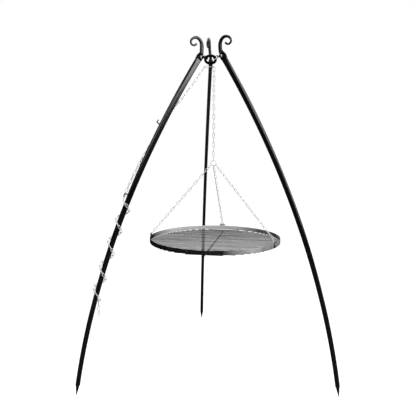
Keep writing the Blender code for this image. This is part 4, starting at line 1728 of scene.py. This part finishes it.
@dataclass
class LegChain:
    """The chain from the crown to the left leg, its turns round that leg and its free end.

    A turn is a drop below the crown and an angle round the leg. A place beside the leg is a drop, and how far
    it lies outward and off the leg's side in millimetres.
    """

    room: float = 3.75 * MM
    square: float = 2.8
    tail_links: int = 3
    start: Vector = field(default_factory=lambda: Vector((3.6, 0.5, -0.4)) * MM)
    turns: tuple[tuple[float, float], ...] = (
        (0.6975, -38.0), (0.7145, 0.0), (0.7305, 90.0), (0.8305, 450.0), (0.9365, 810.0), (1.0605, 1170.0),
        (1.1605, 1530.0), (1.1905, 1630.0),
    )
    beside: tuple[tuple[float, float, float], ...] = (
        (0.1825, -34.0, 1.0), (0.2525, -17.0, 7.5), (0.3525, -6.0, 7.8), (0.4525, 6.0, 7.8),
        (0.5325, 16.0, 7.5), (0.6125, 20.0, 6.5), (0.6775, 20.5, 5.5),
    )
    finish: Finish = ZINC

    def span_path(self, start: Vector) -> Path:
        """Lays out the way from the crown down beside the leg to its lower hook.

        Args:
            start: The chain's first point at the crown.

        Returns:
            Points with outward directions.
        """
        line = LINES[Side.LEFT]
        path = [(start, line.side)]
        for drop, outward, off in catmull(self.beside, 24):
            centre, normal, _ = line.at(line.distance_at(RING.height - drop))
            beside = line.side * (LEG.width / 2 + off * MM)
            path.append((centre + normal * (outward * MM) - beside, line.side))
        return path

    def squared(self, value: float) -> float:
        """Bends a cosine or sine towards a rounded square's."""
        return math.copysign(abs(value) ** (2 / self.square), value)

    def wind_path(self) -> Path:
        """Lays out the turns round the leg.

        Returns:
            Points with outward directions.
        """
        line = LINES[Side.LEFT]
        off = CHAIN.width / 2 + CHAIN.corner + self.room
        path = []
        for (z0, a0), (z1, a1) in zip(self.turns, self.turns[1:]):
            steps = max(2, round((a1 - a0) / 9))
            for i in range(steps + (1 if z1 == self.turns[-1][0] else 0)):
                f = i / steps
                height, a = RING.height - z0 - (z1 - z0) * f, math.radians(a0 + (a1 - a0) * f)
                centre, normal, _ = line.at(line.distance_at(height))
                x = (line.depth(height) / 2 + off) * self.squared(math.cos(a))
                y = (LEG.width / 2 + off) * self.squared(math.sin(a))
                outward = (normal * math.cos(a) + line.side * math.sin(a)).normalized()
                path.append((centre + normal * x + line.side * y, outward))
        return path

    @staticmethod
    def run_of(path: Path) -> list[float]:
        """Measures a path.

        Args:
            path: Points with outward directions.

        Returns:
            The distance to each point along the path.
        """
        lengths = [0.0]
        for (a, _), (b, _) in zip(path, path[1:]):
            lengths.append(lengths[-1] + (b - a).length)
        return lengths

    @staticmethod
    def place_on(path: Path, lengths: list[float], distance: float) -> tuple[Vector, Vector]:
        """Finds a place on a path.

        Args:
            path: Points with outward directions.
            lengths: The distance to each of them.
            distance: The place's distance along the path.

        Returns:
            The point and the outward direction there.
        """
        i = 0
        while i < len(path) - 2 and lengths[i + 1] < distance:
            i += 1
        f = (distance - lengths[i]) / (lengths[i + 1] - lengths[i])
        return path[i][0].lerp(path[i + 1][0], f), path[i][1].lerp(path[i + 1][1], f)

    def links(
        self, path: Path, start: float, stop: float, first: int, last: int | None = None,
    ) -> tuple[list[LinkPlace], float]:
        """Lays links end to end along a path.

        Args:
            path: Points with outward directions.
            start: Distance of the first end wire.
            stop: Distance of the last end wire.
            first: 0 where the first link stands out from the leg, 1 where it lies flat.
            last: The same for the last link, or None for either.

        Returns:
            The places and the pitch.
        """
        lengths = self.run_of(path)
        stop = min(stop, lengths[-1])
        count = round((stop - start - CHAIN.bite) / CHAIN.pitch)
        if last is not None and (first + count - 1) % 2 != last:
            count += 1
        pitch = (stop - start - CHAIN.touch) / count
        places = []
        for i in range(count):
            begin = start + i * pitch
            low, _ = self.place_on(path, lengths, begin)
            high, _ = self.place_on(path, lengths, begin + pitch + CHAIN.touch)
            _, outward = self.place_on(path, lengths, begin + (pitch + CHAIN.touch) / 2)
            along = (high - low).normalized()
            outward = (outward - along * outward.dot(along)).normalized()
            across = outward if (i + first) % 2 == 0 else along.cross(outward).normalized()
            places.append(LinkPlace((low + high) / 2, along, across))
        return places, pitch

    def build(self, left: Vector) -> None:
        """Makes the three strands.

        Args:
            left: The end wire at the crown that the chain starts from.
        """
        maker = ChainMaker(self.finish)
        down = self.span_path(left + self.start)
        run = self.run_of(down)[-1]
        span, pitch = self.links(down, 0.0, run, 0)
        maker.hang("leg_chain_links", span, pitch, "leg_left", "leg_chain_span")
        path = down + self.wind_path()
        wound, pitch = self.links(path, run - CHAIN.touch, self.run_of(path)[-1], len(span) % 2, 0)
        maker.hang("leg_chain_turns", wound, pitch, "leg_left", "leg_chain_wound")
        last = wound[-1]
        begin = last.centre + last.along * ((pitch + CHAIN.touch) / 2) + UP * CHAIN.touch
        low = begin - UP * (self.tail_links * CHAIN.pitch + CHAIN.touch)
        level = Vector((last.across.x, last.across.y, 0.0)).normalized()
        tail, pitch = straight_links(begin, low, level.cross(UP), level, self.tail_links)
        maker.hang("leg_chain_free_end", tail, pitch, "chain_tail", "leg_chain_tail")


@dataclass
class GrateAssembly:
    """The rim, the rods under it, the lugs with their bent wires, and the three chains that carry them."""

    swell: float = 0.35 * MM
    rim_steps: int = 288
    rim_edge: float = 0.6 * MM
    seam_azimuth: float = 35.0
    seam_drops: tuple[float, ...] = (3.0 * MM, 11.0 * MM, 19.0 * MM)
    lug_cut: float = 4.0 * MM
    lug_edge: float = 0.5 * MM
    lug_weld_drops: tuple[float, ...] = (1.5 * MM, 10.0 * MM, 18.5 * MM)
    bail_legs: tuple[tuple[float, float], ...] = (
        (6.0 * MM, 0.0), (-1.9 * MM, 0.0), (-4.18 * MM, 0.6 * MM),
    )
    bail_bend: float = 3.5 * MM
    # The rim and the left and rear lugs take RIM_STEEL, with its painted shade.
    rim_finish: Finish = RIM_STEEL
    rod_finish: Finish = ROD_STEEL
    bar_finish: Finish = BAR_STEEL
    lug_finish: Finish = FORGED_COAT
    worn_lug_finish: Finish = RIM_STEEL
    chain_finish: Finish = ZINC

    def rim(self) -> None:
        """Turns the upright band with rounded edges, and lays the weld that closes it."""
        section = ring_section(GRATE.radius - GRATE.thick, GRATE.radius, 0.0, GRATE.height, self.rim_edge, 3)
        base = GRATE.centre - UP * GRATE.height
        obj = new_object("grate_rim_band", lathe("rim", section, base, UP, self.rim_steps, True))
        settle(obj, "grate", Slot.BARE, self.rim_finish, "grate_rim")
        foot = GRATE.centre + direction(self.seam_azimuth) * (GRATE.radius - 0.5 * MM)
        seam = [foot - UP * drop for drop in self.seam_drops]
        WeldMaker(self.lug_finish, 1.6 * MM).lay("grate_rim_seam", [seam], 11, "grate", Slot.BARE)

    def rod_tree(self, name: str) -> GeometryTree:
        """Builds the rods' tree: a unit rod on each point, stretched to that row's half length.

        Args:
            name: The tree's name.

        Returns:
            The tree.
        """
        g = GeometryTree(name)
        radius = g.size("Rod radius", GRATE.rod + self.swell)
        turn = g.size("Turn", math.radians(GRATE.turn))
        line = g.add("GeometryNodeCurvePrimitiveLine", {"Start": (-1.0, 0.0, 0.0), "End": (1.0, 0.0, 0.0)})
        rod = g.add(
            "GeometryNodeCurveToMesh",
            {"Curve": line.outputs[0], "Profile Curve": g.circle(radius, 10), "Fill Caps": True},
        )
        spin = g.add("ShaderNodeCombineXYZ", {2: turn})
        rods = g.spread(rod.outputs[0], Rotation=spin.outputs[0], Scale=g.vector("reach"))
        g.close(rods, self.rod_finish.build())
        return g

    def grid(self) -> None:
        """Makes the rods, the bar under them, and the welds where they meet the rim."""
        along, across = direction(GRATE.turn), direction(GRATE.turn + 90)
        centre = GRATE.centre - UP * (GRATE.height + GAP + GRATE.rod)
        reach = GRATE.radius - GRATE.rod
        rows = int(reach / GRATE.pitch)
        offsets = [k * GRATE.pitch for k in range(-rows, rows + 1)]
        halves = [math.sqrt(reach * reach - y * y) for y in offsets]
        kept = [(y, half) for y, half in zip(offsets, halves) if half > 4 * GRATE.rod]
        stretches = [Vector((half, 1.0, 1.0)) for _, half in kept]
        base = points_mesh("grate_rods", [centre + across * y for y, _ in kept], {"reach": stretches})
        rods = self.rod_tree("rods").make("grate_rods", base)
        settle(rods, "grate", Slot.BARE, self.rod_finish, "grate_grid")
        low = centre - UP * (GRATE.rod + GRATE.bar - 0.4 * MM)
        path = [low + across * (reach * (2 * k / 12 - 1)) for k in range(13)]
        bar = wire_piece("grate_cross_bar", path, GRATE.bar, 16)
        settle(bar, "grate", Slot.BARE, self.bar_finish, "grate_grid")
        ends = []
        for y, half in kept:
            for s in (-1, 1):
                spot = centre + across * y + along * (s * (half - 2.4 * MM)) + UP * (GRATE.rod + 0.1 * MM)
                ends.append([spot - along * (1.2 * MM), spot + along * (1.2 * MM)])
        weld = WeldMaker(self.rod_finish, spacing=1.2 * MM)
        weld.lay("grate_rod_welds", ends, 7, "grate", Slot.BARE)

    def lug_frame(self, side: Side) -> tuple[Vector, Vector, Vector]:
        """The foot of a lug on the rim's outer face, and its outward and sideways directions."""
        out, level = direction(LUG_AZIMUTHS[side]), direction(LUG_AZIMUTHS[side] + 90)
        return GRATE.centre + out * (GRATE.radius + GAP), out, level

    def lug(self, side: Side) -> None:
        """Makes a lug: a plate with two holes and cut upper corners, and the welds beside it.

        Args:
            side: Which of the three.
        """
        foot, out, level = self.lug_frame(side)
        half, top, bottom, cut = GRATE.lug_width / 2, GRATE.lug_above, -GRATE.lug_below, self.lug_cut
        corners = ((half, bottom), (half, top - cut), (half - cut, top))
        outline = [(-half, bottom), *corners, *((-y, z) for y, z in corners[:0:-1])]
        rings = [[foot + out * x + level * y + UP * z for y, z in outline] for x in (0.0, GRATE.lug_thick)]
        obj = new_object(f"rim_lug_plate_{side.value}", skin("lug", rings))
        for sign in (-1, 1):
            hole = foot + level * (sign * GRATE.hole_apart / 2) + UP * GRATE.hole_rise
            ends = [circle(hole + out * (x * MM), level, UP, GRATE.hole, 24) for x in (-4.0, 8.0)]
            cutter = new_object("hole", skin("hole", ends))
            step = obj.modifiers.new("hole", "BOOLEAN")
            step.operation = "DIFFERENCE"
            step.solver = "EXACT"
            step.object = cutter
            bake(obj)
            bpy.data.objects.remove(cutter, do_unlink=True)
        soften(obj, self.lug_edge)
        finish = self.lug_finish if side is Side.RIGHT else self.worn_lug_finish
        settle(obj, "grate", Slot.BLACK, finish, f"rim_lug_{side.value}")
        beside = foot + out * (0.4 * MM)
        edges = [
            [beside + level * (s * (half + 0.4 * MM)) - UP * drop for drop in self.lug_weld_drops]
            for s in (-1, 1)
        ]
        weld = WeldMaker(self.lug_finish, spacing=1.2 * MM)
        weld.lay(f"rim_lug_weld_{side.value}", edges, 13, "grate", Slot.BLACK)

    def bail(self, side: Side) -> tuple[Vector, Vector]:
        """Makes the bent wire through a lug's two holes.

        Args:
            side: Which of the three.

        Returns:
            The place that the chain holds it by, and the wire's direction there.
        """
        foot, out, level = self.lug_frame(side)
        half = GRATE.hole_apart / 2
        base = foot + UP * GRATE.hole_rise
        peak = base - out * (GRATE.bail + GAP + GRATE.bail_lean) + UP * GRATE.bail_rise
        path = [base + out * x - level * half + UP * z for x, z in self.bail_legs]
        path += [peak - level * GRATE.bail_flat, peak + level * GRATE.bail_flat]
        path += [base + out * x + level * half + UP * z for x, z in reversed(self.bail_legs)]
        obj = wire_piece(f"rim_bent_wire_{side.value}", fillet_line(path, self.bail_bend, 6), GRATE.bail, 12)
        settle(obj, "grate", Slot.ZINC, self.chain_finish, f"rim_bail_{side.value}")
        return peak, level

    def carrying_chain(self, side: Side, gather: Vector, peak: Vector, level: Vector) -> None:
        """Makes the chain from the gathering ring to one bent wire.

        Args:
            side: Which of the three.
            gather: The gathering ring's middle.
            peak: The place on the bent wire.
            level: The wire's direction there.
        """
        a = math.radians(GATHER_ANGLES[side])
        hold = gather + (EAST * math.cos(a) + UP * math.sin(a)) * GRATE.gather
        along = (peak - hold).normalized()
        wire = UP * math.cos(a) - EAST * math.sin(a)
        last = along.cross(level).normalized()
        first = last if abs(last.dot(wire)) < abs(level.dot(wire)) else level
        parity = 1 if first is last else 0
        span = (peak - hold).length + GRATE.gather_wire + GRATE.bail + 2 * (CHAIN.corner + GAP)
        count = count_for(span, parity)
        top = hold - along * (GRATE.gather_wire + CHAIN.wire + TOUCH_GAP)
        bottom = peak + along * (GRATE.bail + CHAIN.wire + TOUCH_GAP)
        places, pitch = straight_links(top, bottom, first, along.cross(first).normalized(), count)
        maker = ChainMaker(self.chain_finish)
        maker.hang(f"carrying_chain_{side.value}", places, pitch, "grate", f"lower_chain_{side.value}")

    def build(self, gather: Vector) -> None:
        """Makes the grate's pieces.

        Args:
            gather: The gathering ring's middle.
        """
        self.rim()
        self.grid()
        loop = circle(gather, EAST, UP, GRATE.gather, 48)
        ring = wire_piece("gathering_ring", loop, GRATE.gather_wire, 12, True)
        settle(ring, "grate", Slot.ZINC, self.chain_finish, "gather_ring")
        for side in Side:
            self.lug(side)
            peak, level = self.bail(side)
            self.carrying_chain(side, gather, peak, level)


@dataclass
class Lamp:
    """One area light, aimed at a point."""

    name: str
    place: Place
    aim: Place
    width: float
    height: float
    energy: float

    def build(self) -> None:
        """Makes the light."""
        light = bpy.data.lights.new(self.name, "AREA")
        light.shape = "RECTANGLE"
        light.size, light.size_y = self.width, self.height
        light.energy = self.energy
        obj = bpy.data.objects.new(self.name, light)
        bpy.context.scene.collection.objects.link(obj)
        obj.location = self.place
        aim = Vector(self.aim) - Vector(self.place)
        obj.rotation_euler = aim.to_track_quat("-Z", "Y").to_euler()


@dataclass
class Studio:
    """The camera, the lights, the world and the floor."""

    camera_place: Place = (-0.0430, -3.0303, 1.2878)
    yaw: float = 0.96
    pitch: float = 8.15
    roll: float = 0.27
    focal: float = 46.42
    sensor: float = 36.0
    ambient: float = 0.12
    mirrored_ambient: float = 0.02
    card_edge: float = 0.88
    floor_colour: float = 0.35
    floor_mirrored: float = 0.08
    floor_glow: float = 0.92
    floor_reach: float = 30.0
    behind: tuple[float, float] = (1.0, 2.0)
    away: tuple[float, float] = (1.2, 3.2)
    lamps: tuple[Lamp, ...] = (
        Lamp("key_light", (2.4, -2.1, 2.6), (0.0, -0.2, 1.4), 1.9, 1.65, 60.0),
        Lamp("edge_light", (2.35, 2.2, 2.5), (0.3, -0.3, 1.3), 2.6, 2.2, 13.0),
        Lamp("high_light", (2.1, 1.0, 3.6), (0.15, -0.2, 1.5), 2.2, 1.6, 27.0),
        Lamp("brow_light", (1.75, -1.7, 3.6), (0.2, -0.3, 1.4), 2.4, 1.2, 34.0),
        Lamp("front_light", (-0.44, -3.08, 2.85), (0.2, -0.3, 1.4), 1.3, 1.2, 22.0),
        Lamp("top_light", (-0.6, 0.4, 4.2), (0.0, 0.0, 0.7), 2.0, 2.0, 60.0),
    )

    def camera(self) -> None:
        """Places the camera at the photograph's viewing angle."""
        yaw, pitch, roll = (math.radians(v) for v in (self.yaw, self.pitch, self.roll))
        ahead = Vector((math.sin(yaw) * math.cos(pitch), math.cos(yaw) * math.cos(pitch), -math.sin(pitch)))
        right = Vector((math.cos(yaw), -math.sin(yaw), 0.0))
        up = right.cross(ahead)
        level = right * math.cos(roll) + up * math.sin(roll)
        top = up * math.cos(roll) - right * math.sin(roll)
        data = bpy.data.cameras.new("camera")
        data.lens = self.focal
        data.sensor_width = self.sensor
        obj = bpy.data.objects.new("camera", data)
        bpy.context.scene.collection.objects.link(obj)
        turn = Matrix((level, top, -ahead)).transposed().to_4x4()
        obj.matrix_world = Matrix.Translation(self.camera_place) @ turn
        bpy.context.scene.camera = obj

    def seen(self, tree: ShaderTree) -> tuple[Socket, Socket]:
        """Reads which rays meet a surface.

        Args:
            tree: The tree to add the node to.

        Returns:
            The camera rays' socket, and one for glossy and transmission rays.
        """
        path = tree.add("LightPath")
        mirrored = tree.math("MAXIMUM", path.outputs["Is Glossy Ray"], path.outputs["Is Transmission Ray"])
        return path.outputs["Is Camera Ray"], mirrored

    def surroundings(self) -> None:
        """Makes the world: white for the camera and, behind the object, for mirrored rays; dim elsewhere."""
        world = bpy.data.worlds.new("studio")
        bpy.context.scene.world = world
        world.use_nodes = True
        tree = ShaderTree(world.node_tree)
        camera, mirrored = self.seen(tree)
        split = tree.add("SeparateXYZ")
        tree.join(tree.add("TexCoord").outputs["Generated"], split.inputs[0])
        card = tree.ramp(split.outputs["Y"], self.card_edge - 0.1, self.card_edge)
        white = tree.math("MAXIMUM", camera, tree.math("MULTIPLY", mirrored, card))
        dim = tree.ramp(mirrored, 0.0, 1.0, self.ambient, self.mirrored_ambient)
        back = world.node_tree.nodes["Background"]
        back.inputs["Color"].default_value = (1.0, 1.0, 1.0, 1.0)
        tree.join(tree.math("MAXIMUM", white, dim), back.inputs["Strength"])
        bpy.context.scene.view_settings.view_transform = "Standard"

    def floor(self) -> None:
        """Lays the floor: lit by the lamps, and white to the camera outside the object's shadow."""
        mesh = bpy.data.meshes.new("floor")
        signs = ((-1, -1), (1, -1), (1, 1), (-1, 1))
        corners = [(self.floor_reach * x, self.floor_reach * y, 0.0) for x, y in signs]
        mesh.from_pydata(corners, [], [(0, 1, 2, 3)])
        obj = new_object("floor", mesh)
        mat = bpy.data.materials.new("white_floor")
        mat.use_nodes = True
        tree = ShaderTree(mat.node_tree)
        camera, mirrored = self.seen(tree)
        split = tree.add("SeparateXYZ")
        tree.join(tree.add("TexCoord").outputs["Object"], split.inputs[0])
        behind = tree.ramp(split.outputs["Y"], *self.behind)
        shown = tree.math("MAXIMUM", camera, tree.math("MULTIPLY", mirrored, behind))
        squares = [tree.math("POWER", split.outputs[axis], 2.0) for axis in ("X", "Y")]
        glow = tree.ramp(tree.math("SQRT", tree.math("ADD", *squares)), *self.away, self.floor_glow, 1.0)
        dark = tree.math("SUBTRACT", mirrored, tree.math("MULTIPLY", mirrored, behind), True)
        colour = tree.blend(dark, (self.floor_colour,) * 3, (self.floor_mirrored,) * 3)
        shader = mat.node_tree.nodes["Principled BSDF"]
        tree.join(colour, shader.inputs["Base Color"])
        shader.inputs["Roughness"].default_value = 1.0
        shader.inputs["Specular IOR Level"].default_value = 0.0
        shader.inputs["Emission Color"].default_value = (1.0, 1.0, 1.0, 1.0)
        tree.join(tree.math("MULTIPLY", shown, glow), shader.inputs["Emission Strength"])
        obj.data.materials.append(mat)

    def build(self) -> None:
        """Makes the studio."""
        self.camera()
        self.surroundings()
        self.floor()
        for lamp in self.lamps:
            lamp.build()


def main() -> None:
    """Builds the finished look."""
    for side in Side:
        LegAssembly(side).build()
    LegHooks().build()
    CrownAssembly().build()
    chain = MainChain()
    chain.build()
    LegChain().build(chain.left)
    GrateAssembly().build(chain.gather)
    Studio().build()


if __name__ == "__main__":
    logging.basicConfig(level=logging.INFO, format="%(message)s")
    main()
